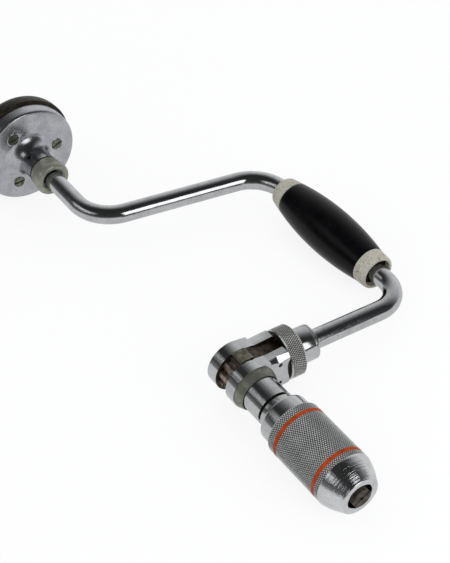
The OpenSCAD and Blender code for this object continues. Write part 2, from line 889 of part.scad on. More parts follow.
module chuck_spindle() {
    r = thread_d / 2;
    color("#858788")
        difference() {
            lathe()
                polygon(concat([[0, prong_front], [r - prong_edge, prong_front],
                    [r, prong_front + prong_edge]],
                    thread_points(jaw_end + thread_start, thread_end - past, r, thread_pitch,
                        thread_depth),
                    [[r, thread_end - chamfer], [land_d / 2, thread_end], [land_d / 2, land_end],
                    [groove_d / 2, land_end], [groove_d / 2, neck_front - chamfer],
                    [neck_d / 2, neck_front],
                    [neck_d / 2, spindle_shoulder], [spindle_d / 2, spindle_shoulder],
                    [spindle_d / 2, slot_rear - wheel_side_gap],
                    [spindle_end_d / 2, slot_rear - wheel_side_gap],
                    [spindle_end_d / 2, spindle_end], [0, spindle_end]]));
            rotate([jaw_turn, 0, 0])
                translate([-jaw_end - face_gap, -jaw_w / 2 - slot_side_gap, -thread_d])
                    cube([jaw_end + face_gap, jaw_w + 2 * slot_side_gap, 2 * thread_d]);
            bar(spindle_end - spindle_screw_len - past, spindle_end + past, spindle_screw_d);
            wheel_pin_bar(wheel_d);
        }
}

module spindle_balls() {
    color("#a4a6a7")
        ball_ring(spindle_shoulder + ball_gap + spindle_ball_d / 2, spindle_ball_ring, spindle_ball_d,
            spindle_ball_count);
}

// Corners of one tooth, as shares of the step from its middle
function tooth(i) = let (mid = tooth_step * (i + 0.5), t = tooth_step * tip_share,
    g = tooth_step * root_share)
    [for (p = [[root_d / 2, -g], [wheel_d / 2, -t], [wheel_d / 2, t], [root_d / 2, g]])
        [p[0] * cos(mid + p[1]), p[0] * sin(mid + p[1])]];

// Round bar across the spindle that keys the wheel under one tooth
module wheel_pin_bar(len) {
    rotate([tooth_step / 2, 0, 0])
        translate([-slot_mid, -len / 2, 0])
            rotate([-90, 0, 0])
                cylinder(d = wheel_pin_d, h = len);
}

module ratchet_wheel() {
    color("#5e4d42")
        difference() {
            along_x(slot_front + wheel_side_gap, slot_rear - wheel_side_gap)
                polygon([for (i = [0:tooth_count - 1]) each tooth(i)]);
            bar(slot_front, slot_rear, spindle_d);
            wheel_pin_bar(2 * wheel_d);
        }
}

module wheel_pin() {
    color("#77797a")
        wheel_pin_bar(root_d - chamfer);
}

module spindle_washer() {
    color("#7a7c7d")
        difference() {
            bar(spindle_end, screw_seat, spindle_washer_d);
            bar(spindle_end - past, screw_seat + past, spindle_screw_d);
        }
}

module spindle_screw() {
    color("#8a8c8d")
        difference() {
            union() {
                bar(screw_seat, screw_seat + spindle_head_t, spindle_end_d);
                bar(spindle_end - spindle_screw_len, screw_seat + seam, spindle_screw_d);
            }
            translate([-screw_seat - spindle_head_t, 0, 0])
                cube([spindle_head_t, spindle_end_d + past, driver_slot], center = true);
        }
}

module jaw_spring() {
    color("#6a6c6d")
        rotate([jaw_turn, 0, 0])
            translate([-(jaw_pocket_start + jaw_end) / 2, 0, -jaw_spring_len / 2])
                difference() {
                    cylinder(d = jaw_spring_d, h = jaw_spring_len);
                    translate([0, 0, -past])
                        cylinder(d = jaw_spring_bore, h = jaw_spring_len + 2 * past);
                }
}

module cone_ring() {
    outer = nose_inner_d / 2 - ring_seat_gap;
    rear_outer = sleeve_bore_d / 2 - ring_seat_gap;
    color("#7c7a74")
        lathe()
            polygon([[cone_r(cone_front), cone_front], [outer, cone_front],
                [rear_outer, cone_rear - cone_step], [rear_outer, cone_rear],
                [cone_r(cone_rear), cone_rear]]);
}

module cone_balls() {
    color("#a4a6a7")
        ball_ring(race_place + ball_gap + cone_ball_d / 2, cone_ball_ring, cone_ball_d,
            cone_ball_count);
}

module chuck_sleeve() {
    r = sleeve_d / 2;
    f = nose_face_d / 2;
    bore = sleeve_bore_d / 2;
    steps = 8;
    groove = r - band_depth;
    color("#909293")
        lathe()
            polygon(concat([[mouth_d / 2, mouth_land], [mouth_d / 2, mouth_edge],
                [mouth_d / 2 + mouth_edge, 0]],
                arc(f - nose_edge, nose_edge, nose_edge, -90, -30, 3),
                [for (i = [1:steps]) let (t = i / steps)
                    [f + (r - f) * t + nose_bulge * sin(180 * t), nose_edge + (nose_len - nose_edge) * t]],
                [for (place = [front_band, rear_band_front]) each [[r, place], [groove, place],
                    [groove, place + band_w], [r, place + band_w]]],
                [[r, sleeve_len - sleeve_edge], [r - sleeve_edge, sleeve_len], [bore, sleeve_len],
                [bore, retainer_rear], [bore + retainer_depth, retainer_rear],
                [bore + retainer_depth, retainer_front], [bore, retainer_front],
                [bore, cone_rear - cone_step], [nose_inner_d / 2, cone_front],
                [nose_inner_d / 2, race_place], [cone_r(race_place), race_place]]));
}

// A coloured band in its groove
module sleeve_band(place) {
    color("#b4552a")
        difference() {
            bar(place, place + band_w, sleeve_d - 0.1);
            bar(place - past, place + band_w + past, sleeve_d - 2 * band_depth);
        }
}

module sleeve_band_front() {
    sleeve_band(front_band);
}

module sleeve_band_rear() {
    sleeve_band(rear_band_front);
}

module cone_retainer() {
    color("#6a6c6d")
        difference() {
            bar(retainer_front, retainer_rear, sleeve_bore_d + 2 * retainer_depth);
            bar(retainer_front - past, retainer_rear + past, sleeve_bore_d - retainer_d);
        }
}

module threaded_bush() {
    r = bush_collar_d / 2;
    b = bush_bore_d / 2;
    round = 1.8;
    color("#949697")
        lathe()
            polygon(concat([[b, bush_front], [sleeve_bore_d / 2, bush_front],
                [sleeve_bore_d / 2, sleeve_len], [r, sleeve_len]],
                arc(r - round, bush_end - round, round, 0, 90, 5),
                [[b, bush_end]]));
}

// One jaw, opening upright before it is turned to its place
module jaw() {
    head_r = jaw_head_d / 2;
    tip = cone_r(-jaw_out) - jaw_slack;
    edge_len = chamfer / cone_slope;
    head_start = mouth_land + (head_r + jaw_slack - cone_mouth_d / 2) / cone_slope + edge_len;
    difference() {
        intersection() {
            lathe()
                polygon([[0, -jaw_out], [tip - chamfer, -jaw_out], [tip, edge_len - jaw_out],
                    [head_r, head_start], [head_r, jaw_head_end], [jaw_tail_d / 2, jaw_head_end],
                    [jaw_tail_d / 2, jaw_end], [0, jaw_end]]);
            translate([-jaw_end - past, -jaw_w / 2, jaw_gap / 2])
                cube([jaw_end + jaw_out + 2 * past, jaw_w, jaw_head_d]);
        }
        bar(-jaw_out - past, jaw_pocket_start + past, grip_hole_d);
        bar(jaw_pocket_start, jaw_end + past, jaw_pocket_d);
    }
}

module jaw_upper() {
    color("#4f463d")
        rotate([jaw_turn, 0, 0])
            jaw();
}

module jaw_lower() {
    color("#4f463d")
        rotate([jaw_turn + 180, 0, 0])
            jaw();
}

crank_rod();
ratchet_housing();
thrust_cup();
arm_collar();
arm_pin();
pawl_pins();
pawl_spring();
detent_ball();
detent_spring();
neck_flange();
head_balls();
head_collar();
head_washer();
head_plate();
head_screws();
head_dome();
grip_barrel();
grip_ferrule_front();
grip_ferrule_rear();
pawl_upper();
pawl_lower();
selector_ring();
chuck_spindle();
spindle_balls();
ratchet_wheel();
wheel_pin();
spindle_washer();
spindle_screw();
jaw_spring();
cone_ring();
cone_balls();
chuck_sleeve();
sleeve_band_front();
sleeve_band_rear();
cone_retainer();
threaded_bush();
jaw_upper();
jaw_lower();
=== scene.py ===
import json
import math

import bmesh
import bpy
import numpy as np
from mathutils import Matrix

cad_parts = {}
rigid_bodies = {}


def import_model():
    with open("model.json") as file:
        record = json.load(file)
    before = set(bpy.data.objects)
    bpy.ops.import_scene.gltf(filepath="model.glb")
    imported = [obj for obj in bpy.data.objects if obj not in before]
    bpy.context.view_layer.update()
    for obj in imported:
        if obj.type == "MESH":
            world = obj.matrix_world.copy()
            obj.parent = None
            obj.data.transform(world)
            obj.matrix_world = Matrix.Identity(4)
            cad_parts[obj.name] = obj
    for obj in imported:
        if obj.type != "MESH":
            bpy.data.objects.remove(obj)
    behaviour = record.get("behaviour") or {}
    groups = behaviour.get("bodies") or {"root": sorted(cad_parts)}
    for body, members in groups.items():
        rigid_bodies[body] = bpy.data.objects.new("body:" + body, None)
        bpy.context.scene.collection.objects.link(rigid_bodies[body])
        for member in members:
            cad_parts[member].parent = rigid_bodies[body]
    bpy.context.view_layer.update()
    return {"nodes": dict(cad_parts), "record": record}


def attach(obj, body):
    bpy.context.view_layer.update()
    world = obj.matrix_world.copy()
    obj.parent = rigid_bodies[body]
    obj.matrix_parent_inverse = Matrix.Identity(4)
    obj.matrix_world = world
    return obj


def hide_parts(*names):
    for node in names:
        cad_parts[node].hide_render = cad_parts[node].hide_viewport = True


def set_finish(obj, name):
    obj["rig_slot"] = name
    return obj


# A ratchet hand brace lying on a white table: plated crank, black grip, knurled chuck.
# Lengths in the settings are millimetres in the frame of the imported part. Places along
# the drilling axis are counted backwards from the chuck mouth, so x is minus the place.
# The corners of a profile are (place, radius) or (place, radius, rounding).

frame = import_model()
nodes = frame["nodes"]
scene = bpy.context.scene
print("frame loaded:", len(nodes), "nodes")

mm = 0.001
sweep = 125  # from the drilling axis to the grip's axis
armFoot = -116.7  # x at which the arm's line meets the drilling axis
armLean = 7.4  # how much nearer to the mouth that line is at the grip's axis
leanAngle = math.atan2(armLean, sweep)
screwPlaces = {"A": (21.79, 0.57), "B": (-11.39, 18.59), "C": (-10.4, -19.16)}

# Axes to turn a profile about: a point on the axis, its direction and two directions across it
axes = {
    "drill": ((0, 0, 0), (-1, 0, 0), (0, 1, 0), (0, 0, 1)),
    "handle": ((0, sweep, 0), (-1, 0, 0), (0, 1, 0), (0, 0, 1)),
    "arm": ((armFoot, 0, 0), (math.sin(leanAngle), math.cos(leanAngle), 0),
            (math.cos(leanAngle), -math.sin(leanAngle), 0), (0, 0, 1)),
}
for letter, place in screwPlaces.items():
    axes["screw" + letter] = ((0, *place), (-1, 0, 0), (0, 1, 0), (0, 0, 1))


def toLinear(hexColour):
    # sRGB to linear: c/12.92 below 0.04045, else ((c + 0.055) / 1.055) to the power 2.4
    values = np.array([int(hexColour[i:i + 2], 16) for i in (1, 3, 5)]) / 255
    linear = np.where(values <= 0.04045, values / 12.92, ((values + 0.055) / 1.055) ** 2.4)
    return (*linear.tolist(), 1.0)


def meshPiece(name, points, faces, body, slotName, replaced, smoothAngle):
    # points are millimetres, faces are lists of corner numbers
    mesh = bpy.data.meshes.new(name)
    mesh.from_pydata((np.asarray(points) * mm).tolist(), [], faces)
    mesh.update()
    mesh.shade_smooth()
    mesh.set_sharp_from_angle(angle=math.radians(smoothAngle))
    return placed(bpy.data.objects.new(name, mesh), body, slotName, replaced)


def placed(piece, body, slotName, replaced):
    scene.collection.objects.link(piece)
    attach(piece, body)
    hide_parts(*replaced)
    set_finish(piece, slotName)
    return piece


roundingSettings = {"steps": (0, 0.3, 0.7, 1), "shareOfSide": 0.48}


def roundCorners(profile):
    # each corner with a rounding gives way to points of a quadratic curve that starts and ends
    # one rounding away from it along its two sides, or just short of a side's middle
    given = np.array([(p + (0,))[:3] for p in profile], float)
    out = []
    for i, (place, radius, rounding) in enumerate(given):
        here = np.array([place, radius])
        if rounding <= 0 or i in (0, len(given) - 1):
            out.append(here)
            continue
        start, end = (here + side * min(rounding / np.linalg.norm(side), roundingSettings["shareOfSide"])
                      for side in (given[i - 1, :2] - here, given[i + 1, :2] - here))
        for t in roundingSettings["steps"]:
            out.append(start * (1 - t) ** 2 + here * 2 * t * (1 - t) + end * t * t)
    return np.array(out)


def turned(name, profile, axis, body, slotName, replaced, sides=128, smoothAngle=32):
    # Profile of (place, radius) carried round the axis: point = origin + place along the axis
    # + radius (cos a, sin a) across it. A profile that doesn't touch the axis closes on itself.
    path = roundCorners(profile)
    origin, along, across, up = (np.array(v, float) for v in axes[axis])
    closed = path[0, 1] > 0
    ringPath = path if closed else path[1:-1]
    turn = np.linspace(0, 2 * math.pi, sides, endpoint=False)
    grid = (origin + ringPath[:, None, :1] * along
            + ringPath[:, None, 1:] * np.cos(turn)[None, :, None] * across
            + ringPath[:, None, 1:] * np.sin(turn)[None, :, None] * up)
    points = grid.reshape(-1, 3)
    rows = len(ringPath)
    i = np.arange(rows if closed else rows - 1)[:, None]
    j = np.arange(sides)[None, :]
    below, above = i * sides, ((i + 1) % rows) * sides
    quads = np.stack([below + j, below + (j + 1) % sides, above + (j + 1) % sides, above + j], -1)
    faces = quads.reshape(-1, 4).tolist()
    if not closed:
        points = np.vstack([points, origin + path[0, 0] * along, origin + path[-1, 0] * along])
        first, last = rows * sides, rows * sides + 1
        k = np.arange(sides)
        faces += np.stack([(k + 1) % sides, k, np.full(sides, first)], -1).tolist()
        end = (rows - 1) * sides
        faces += np.stack([end + k, end + (k + 1) % sides, np.full(sides, last)], -1).tolist()
    piece = meshPiece(name, points, faces, body, slotName, replaced, smoothAngle)
    pointOutward(piece)
    return piece


def faceValues(mesh, kind, width):
    values = np.zeros(len(mesh.polygons) * width, np.float32)
    mesh.polygons.foreach_get(kind, values)
    return values.reshape(-1, width)


def pointOutward(piece):
    # the sum of face centre times face normal times area is three times the volume enclosed
    mesh = piece.data
    inward = (faceValues(mesh, "center", 3) * faceValues(mesh, "normal", 3)).sum(1, keepdims=True)
    if (inward * faceValues(mesh, "area", 1)).sum() < 0:
        mesh.flip_normals()


def notchFrame(settings):
    # directions of a cut along a corner: out of its floor, along it and across it
    up = np.array(settings["normal"]) / np.linalg.norm(settings["normal"])
    ahead = np.array([0, 1, 0]) - up[1] * up
    ahead /= np.linalg.norm(ahead)
    return up, ahead, np.cross(up, ahead)


def cutNotch(mesh, settings):
    # takes away a prism: the outline (place ahead, height over the floor) carried across the corner
    up, ahead, across = notchFrame(settings)
    outline, count = settings["outline"], len(settings["outline"])
    corners = [np.array(settings["point"]) + ahead * a + up * h + across * side
               for side in (-settings["half"], settings["half"]) for a, h in outline]
    faces = [tuple(range(count)), tuple(range(2 * count - 1, count - 1, -1))]
    faces += [((i + 1) % count, i, i + count, (i + 1) % count + count) for i in range(count)]
    cutterMesh = bpy.data.meshes.new("notchCutter")
    cutterMesh.from_pydata((np.array(corners) * mm).tolist(), [], faces)
    cutter = bpy.data.objects.new("notchCutter", cutterMesh)
    whole = bpy.data.objects.new("whole", mesh)
    for part in (cutter, whole):
        scene.collection.objects.link(part)
    cut = whole.modifiers.new("notch", "BOOLEAN")
    cut.object, cut.solver = cutter, "EXACT"
    evaluated = whole.evaluated_get(bpy.context.evaluated_depsgraph_get())
    finished = bpy.data.meshes.new_from_object(evaluated)
    for part in (cutter, whole):
        bpy.data.objects.remove(part)
    for unused in (cutterMesh, mesh):
        bpy.data.meshes.remove(unused)
    return finished


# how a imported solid's copy is cleaned and eased: corners closer than merged become one, faces
# within flatAngle degrees are joined, and edges sharper than bevelAngle are bevelled
copySettings = {"merged": 0.002, "flatAngle": 0.6, "bevelAngle": 28, "floorFacing": 0.999}


def finishedCopy(name, node, body, slotName, width, segments=2, smoothAngle=32, notch=None):
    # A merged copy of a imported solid, its flat faces joined and its edges eased by a bevel
    work = bmesh.new()
    work.from_mesh(nodes[node].data)
    bmesh.ops.remove_doubles(work, verts=work.verts, dist=copySettings["merged"] * mm)
    bmesh.ops.dissolve_limit(work, angle_limit=math.radians(copySettings["flatAngle"]), verts=work.verts,
                             edges=work.edges)
    mesh = bpy.data.meshes.new(name)
    work.to_mesh(mesh)
    work.free()
    if notch:
        mesh = cutNotch(mesh, notch)
    mesh.shade_smooth()
    mesh.set_sharp_from_angle(angle=math.radians(smoothAngle))
    if notch:
        # the cutter leaves a flat floor with crisp edges
        facing = faceValues(mesh, "normal", 3) @ notchFrame(notch)[0]
        mesh.polygons.foreach_set("use_smooth", facing < copySettings["floorFacing"])
    piece = bpy.data.objects.new(name, mesh)
    bevel = piece.modifiers.new("easedEdges", "BEVEL")
    bevel.width = width * mm
    bevel.segments = segments
    bevel.limit_method = "ANGLE"
    bevel.angle_limit = math.radians(copySettings["bevelAngle"])
    bevel.harden_normals = True
    return placed(piece, body, slotName, [node])


# Faces of a piece that have a finish of their own, kept for when the materials are made
ownFinish = []


def otherFinish(piece, slotName, test):
    # test takes the faces' centres in millimetres and their normals
    ownFinish.append((piece, slotName, test))


def between(values, limits):
    return (values > limits[0]) & (values < limits[1])


def standing(thing, right, up, back, place):
    # Puts a camera or a lamp in the scene: its matrix has the columns right, up, back and place,
    # and place is in metres
    scene.collection.objects.link(thing)
    pose = np.eye(4)
    pose[:3] = np.stack([right, up, back, place], 1)
    thing.matrix_world = Matrix(pose.tolist())


# Camera: place and directions of the photograph's view. The sensor lies along the picture's
# longer side, which is 563 pixels.
cameraSettings = {
    "place": (390.04, -368.52, 655.59),
    "right": (0.571316, 0.820708, 0.006030),
    "up": (-0.560508, 0.384796, 0.733323),
    "back": (0.599524, -0.422339, 0.679853),
    "focalPixels": 1494.03, "longSide": 563, "sensor": 36, "nearest": 20,
}
view = cameraSettings
cameraData = bpy.data.cameras.new("camera")
cameraData.lens = view["focalPixels"] * view["sensor"] / view["longSide"]
cameraData.sensor_width = view["sensor"]
cameraData.clip_start = view["nearest"] * mm
camera = bpy.data.objects.new("camera", cameraData)
standing(camera, view["right"], view["up"], view["back"], np.array(view["place"]) * mm)
scene.camera = camera
print("camera placed")

# Crank: a round rod bent three times, thinner at the end that turns in the head
crankSettings = {
    "rodRadius": 6.5, "journalRadius": 5.5, "radii": (27, 27, 20), "sides": 64, "bendSteps": 44, "runStep": 6,
    "corners": [(-388.0, 0), (-287.2, 0), (-262.8, sweep), (armFoot + armLean, sweep), (armFoot, 0)],
    "footGap": 32.6, "footSteps": 20, "shoulder": 343.6, "journalEase": 0.4, "shoulderEase": 0.5,
    "shoulderGap": 0.1,
}


def crankLine(settings):
    # Corners joined by straight runs, each corner swapped for an arc tangent to both sides
    corners = np.array(settings["corners"], float)
    line = [corners[0]]
    for k, radius in enumerate(settings["radii"], 1):
        before, here, after = corners[k - 1], corners[k], corners[k + 1]
        a = (before - here) / np.linalg.norm(before - here)
        b = (after - here) / np.linalg.norm(after - here)
        half = math.acos(float(a @ b)) / 2
        middle = here + (a + b) / np.linalg.norm(a + b) * radius / math.sin(half)
        start, end = here + a * radius / math.tan(half), here + b * radius / math.tan(half)
        fromAngle = math.atan2(*(start - middle)[::-1])
        toAngle = math.atan2(*(end - middle)[::-1])
        swing = (toAngle - fromAngle + math.pi) % (2 * math.pi) - math.pi
        t = fromAngle + swing * np.linspace(0, 1, settings["bendSteps"])
        steps = max(2, int(np.linalg.norm(start - line[-1]) / settings["runStep"]))
        line += list(line[-1] + (start - line[-1]) * np.linspace(0, 1, steps)[1:-1, None])
        line += list(middle + radius * np.stack([np.cos(t), np.sin(t)], -1))
    last = line[-1] - corners[-1]
    foot = corners[-1] + last / np.linalg.norm(last) * settings["footGap"]
    line += list(line[-1] + (foot - line[-1]) * np.linspace(0, 1, settings["footSteps"])[1:, None])
    return np.array(line)


def sweptRod(settings):
    # Circle carried along the line: point = line + radius (cos a across in the plane + sin a up).
    # The radius steps down to the journal where the bearing shoulder stands.
    line = crankLine(settings)
    ahead = np.gradient(line, axis=0)
    ahead /= np.linalg.norm(ahead, axis=1)[:, None]
    across = np.stack([-ahead[:, 1], ahead[:, 0]], -1)
    shoulder, ease, lip = -settings["shoulder"], settings["journalEase"], settings["shoulderEase"]
    journal, rod = settings["journalRadius"], settings["rodRadius"]
    steps = [(line[0, 0], journal - ease), (line[0, 0] + ease, journal), (shoulder, journal),
             (shoulder, rod - lip), (shoulder + lip, rod)]
    keep = line[:, 0] > shoulder + lip + settings["shoulderGap"]
    centre = np.vstack([[(x, 0) for x, _ in steps], line[keep]])
    side = np.vstack([[across[0]] * len(steps), across[keep]])
    radius = np.concatenate([[r for _, r in steps], np.full(keep.sum(), rod)])[:, None]
    place = np.concatenate([[0], np.cumsum(np.linalg.norm(np.diff(centre, axis=0), axis=1))])[:, None]
    turn = np.linspace(0, 2 * math.pi, settings["sides"] + 1)[None, :]
    grid = np.stack([centre[:, :1] + radius * np.cos(turn) * side[:, :1],
                     centre[:, 1:] + radius * np.cos(turn) * side[:, 1:],
                     radius * np.sin(turn) + 0 * place], -1)
    return grid, np.stack([place + 0 * turn, rod * turn + 0 * place], -1)


def gridPiece(name, grid, uv, body, slotName, replaced, smoothAngle=32):
    # Rows of points joined to quads. The last column lies on the first and has its own place
    # on the map in millimetres, and both are one in the mesh.
    rows, columns = grid.shape[:2]
    count = columns - 1
    i, j = np.arange(rows - 1)[:, None], np.arange(count)[None, :]
    quads = np.stack([i * count + j, i * count + (j + 1) % count,
                      (i + 1) * count + (j + 1) % count, (i + 1) * count + j], -1).reshape(-1, 4)
    mapRows = np.stack([i * columns + j, i * columns + j + 1,
                        (i + 1) * columns + j + 1, (i + 1) * columns + j], -1).reshape(-1, 4)
    faces = quads.tolist() + [list(range(count))[::-1], list(range((rows - 1) * count, rows * count))]
    cornerMap = np.vstack([uv.reshape(-1, 2)[mapRows].reshape(-1, 2), uv[0, :-1][::-1], uv[-1, :-1]])
    piece = meshPiece(name, grid[:, :-1].reshape(-1, 3), faces, body, slotName, replaced, smoothAngle)
    layer = piece.data.uv_layers.new(name="patternMap")
    layer.data.foreach_set("uv", cornerMap.astype(np.float32).ravel())
    pointOutward(piece)
    return piece


crank = gridPiece("crankRod", *sweptRod(crankSettings), "crank", "plated_rod", ["crank_rod"])
print("crank swept:", len(crank.data.polygons), "faces")

# Grip: a turned wooden barrel between two moulded ferrules
gripSettings = {
    "front": 148.0, "rear": 229.5, "radius": 16.6, "widest": 188.6, "curve": 218, "steps": 49, "sides": 144,
    "bore": 6.6, "recess": 9.9, "recessFloor": 142.5, "rearRecess": 7.3, "seamDrop": 0.25, "seamRun": 0.3,
    "ferruleDrop": 0.05,
    "frontEnd": [(138.4, 9.9), (138.0, 10.3, 0.25), (138.0, 11.6, 1.1), (139.6, 12.25, 0.8)],
    "rearEnd": [(239.8, 10.6, 0.8), (241.0, 9.6, 0.8), (241.0, 7.7, 0.3), (240.6, 7.3)],
}
g = gripSettings
along = np.linspace(g["front"], g["rear"], g["steps"])
# arc of a large circle whose top is the widest place
radii = g["radius"] - g["curve"] + np.sqrt(g["curve"] ** 2 - (along - g["widest"]) ** 2)
side = list(zip(along.tolist(), radii.tolist()))
frontRadius, rearRadius = side[0][1], side[-1][1]
turned("gripBarrel", [(g["recessFloor"], g["bore"]), (g["recessFloor"], g["recess"]), (g["front"], g["recess"]),
                      (g["front"], frontRadius - g["seamDrop"]), (g["front"] + g["seamRun"], frontRadius)]
       + side[1:-1] + [(g["rear"] - g["seamRun"], rearRadius), (g["rear"], rearRadius - g["seamDrop"]),
                       (g["rear"], g["bore"])],
       "handle", "grip", "black_grip_wood", ["grip_barrel"], sides=g["sides"])
turned("gripFerruleFront", [(g["front"], g["recess"])] + g["frontEnd"]
       + [(g["front"], frontRadius - g["ferruleDrop"])],
       "handle", "grip", "aged_ivory", ["grip_ferrule_front"], sides=g["sides"])
turned("gripFerruleRear", [(g["rear"], g["rearRecess"]), (g["rear"], rearRadius - g["ferruleDrop"])]
       + g["rearEnd"],
       "handle", "grip", "aged_ivory", ["grip_ferrule_rear"], sides=g["sides"])
print("grip turned")

# Head: wooden dome on a plate, grey bearing collar and brown washer
headSettings = {
    "floor": 378.5, "rim": 384.9, "top": 405.9, "radius": 37.8, "spigot": 33.4, "edge": 0.8, "rounding": 0.3,
    "sideRun": 1.0, "power": 2.8, "steps": 29, "pocket": 6.6, "pocketEnd": 388.95,
    "collar": [(343.2, 7.4), (341.9, 7.4), (340.4, 8.9, 0.2), (340.4, 10.9, 0.5), (341.5, 12.2, 0.7),
               (343.6, 12.7, 1.2), (352.9, 11.45, 0.2), (352.9, 9.5), (343.2, 9.5)],
    "washer": [(352.9, 9.4), (352.9, 11.25, 0.2), (354.45, 11.25, 0.2), (354.45, 9.4)],
    "screwRim": [(374.7, 4.15), (374.3, 4.2, 0.05), (374.05, 4.6, 0.25), (374.3, 5.0, 0.05), (374.7, 5.1)],
}
h = headSettings
crown = h["top"] - h["rim"] - h["edge"] - h["sideRun"]
# superellipse: place and radius are the sine and cosine to the power 2 / power
domeSide = [(h["rim"] + h["edge"] + h["sideRun"] + crown * math.sin(a) ** (2 / h["power"]),
             h["radius"] * math.cos(a) ** (2 / h["power"]))
            for a in np.radians(np.linspace(0, 90, h["steps"]))[:-1]]
turned("headDome", [(h["pocketEnd"], 0), (h["pocketEnd"], h["pocket"], h["rounding"]), (h["floor"], h["pocket"]),
                    (h["floor"], h["spigot"]), (h["rim"], h["spigot"]),
                    (h["rim"], h["radius"] - h["edge"], h["rounding"]),
                    (h["rim"] + h["edge"], h["radius"], h["rounding"])] + domeSide + [(h["top"], 0)],
       "drill", "head", "dark_head_wood", ["head_dome"], sides=160)
turned("headCollar", h["collar"], "drill", "head", "dull_grey_metal", ["head_collar"])
turned("headWasher", h["washer"], "drill", "head", "brown_fibre", ["head_washer"], sides=112)
finishedCopy("headPlate", "head_plate", "head", "satin_plate", width=0.5, segments=3)
# burr left bright round each screw hole
for letter in screwPlaces:
    turned("screwRim" + letter, h["screwRim"], "screw" + letter, "head", "plated_chuck", ["head_plate"], sides=48)
finishedCopy("headScrews", "head_screws", "head", "screw_steel", width=0.25, segments=3)
print("head built")

# Chuck: a sleeve with a smooth nose and three stretches of cut diamonds, with an orange band
# in each gap between them
sleeveSettings = {
    "radius": 18.85, "zones": [(15.0, 18.9), (21.5, 54.6), (57.2, 62.1)], "seam": 0.001,
    "end": 62.5, "endRadius": 18.35, "grooves": 80, "along": 2.56, "samples": 6, "depth": 0.46,
    "mouth": ([0, 0, 0.1, 0.35, 0.62], [8.95, 12.3, 12.72, 12.98, 13.06]),
    "noseEdge": 0.8, "noseEnd": 14.2, "noseFace": 13.1, "noseBulge": 0.6, "noseSteps": 17, "shineEnd": 14.9,
    "inside": [(62.5, 17.0), (16.0, 17.0), (13.6, 17.0), (4.6, 12.7), (2.5, 12.7), (2.5, 9.26), (1.2, 8.65),
               (0.3, 8.65)],
    "bandFloor": 18.3, "bandRadius": 18.8, "bandWidth": 2.6, "bandGap": 0.02, "bandRounding": 0.15,
}
# what both knurled pieces share: points worn flat where height times wornPoints passes 1, no row
# within endShare of a row's step from an end, and faces smooth up to smoothAngle degrees
knurlSettings = {"wornPoints": 1.2, "endShare": 0.2, "smoothAngle": 24}


def knurlRows(zone, along, samples):
    # rows lie on one even grid for the whole piece, so that the pattern runs on past a band
    step, share = along / samples, knurlSettings["endShare"]
    inner = np.arange(math.ceil(zone[0] / step + share), math.floor(zone[1] / step - share) + 1) * step
    return np.concatenate([[zone[0]], inner, [zone[1]]])


def knurledPiece(name, stretches, inside, axis, body, slotName, replaced, settings, shiftOf):
    # stretches: (places, radii, knurled) of the outer side, joined to the inside profile.
    # Height is 0 in a groove and 1 on a point: the lesser of two triangle waves of around + along
    # and around - along, both counted in grooves, with the points worn flat. Radius falls by
    # depth (1 - height). shiftOf gives how far a row's circle stands off the axis.
    origin, along, across, up = (np.array(v, float) for v in axes[axis])
    samples, count = settings["samples"], settings["grooves"] * settings["samples"]
    turn = 2 * math.pi * np.arange(count) / count
    around = (np.arange(count) / samples)[None, :]
    places, radii, heights = [], [], []
    for stretch, radius, knurled in stretches:
        stretch = np.asarray(stretch, float)[:, None]
        high = np.ones((len(stretch), count))
        if knurled:
            waves = [1 - np.abs(2 * (w - np.floor(w)) - 1)
                     for w in (around + stretch / settings["along"], around - stretch / settings["along"])]
            high = np.minimum(1, np.minimum(*waves) * knurlSettings["wornPoints"])
        radii.append(np.asarray(radius, float)[:, None] - settings["depth"] * (1 - high))
        places.append(stretch[:, 0])
        heights.append(high)
    inner = roundCorners(inside)
    place = np.concatenate(places + [inner[:, 0]])
    radius = np.vstack(radii + [np.repeat(inner[:, 1:], count, 1)])
    height = np.vstack(heights + [np.ones((len(inner), count))])
    shift = shiftOf(radius[:, 0])[:, None]
    grid = (origin + place[:, None, None] * along
            + (radius * np.cos(turn) + shift)[..., None] * across
            + (radius * np.sin(turn))[..., None] * up)
    rows = len(place)
    i, j = np.arange(rows)[:, None], np.arange(count)[None, :]
    a, b = i * count + j, i * count + (j + 1) % count
    c, d = ((i + 1) % rows) * count + (j + 1) % count, ((i + 1) % rows) * count + j
    # the diagonal of each quad follows the groove that crosses it, and the small sum keeps a
    # place on a row from rounding down to the row before
    gridRow = np.floor(place * samples / settings["along"] + 0.01).astype(int)[:, None]
    slant = ((gridRow + j) % 2 == 0)[..., None]
    first = np.where(slant, np.stack([a, b, c], -1), np.stack([a, b, d], -1))
    second = np.where(slant, np.stack([a, c, d], -1), np.stack([b, c, d], -1))
    faces = np.concatenate([first.reshape(-1, 3), second.reshape(-1, 3)]).tolist()
    piece = meshPiece(name, grid.reshape(-1, 3), faces, body, slotName, replaced, knurlSettings["smoothAngle"])
    mark = piece.data.attributes.new("grooveHeight", "FLOAT", "POINT")
    mark.data.foreach_set("value", height.astype(np.float32).ravel())
    pointOutward(piece)
    return piece


s = sleeveSettings
t = np.linspace(0, 1, s["noseSteps"])
nosePlace = s["noseEdge"] + (s["noseEnd"] - s["noseEdge"]) * t
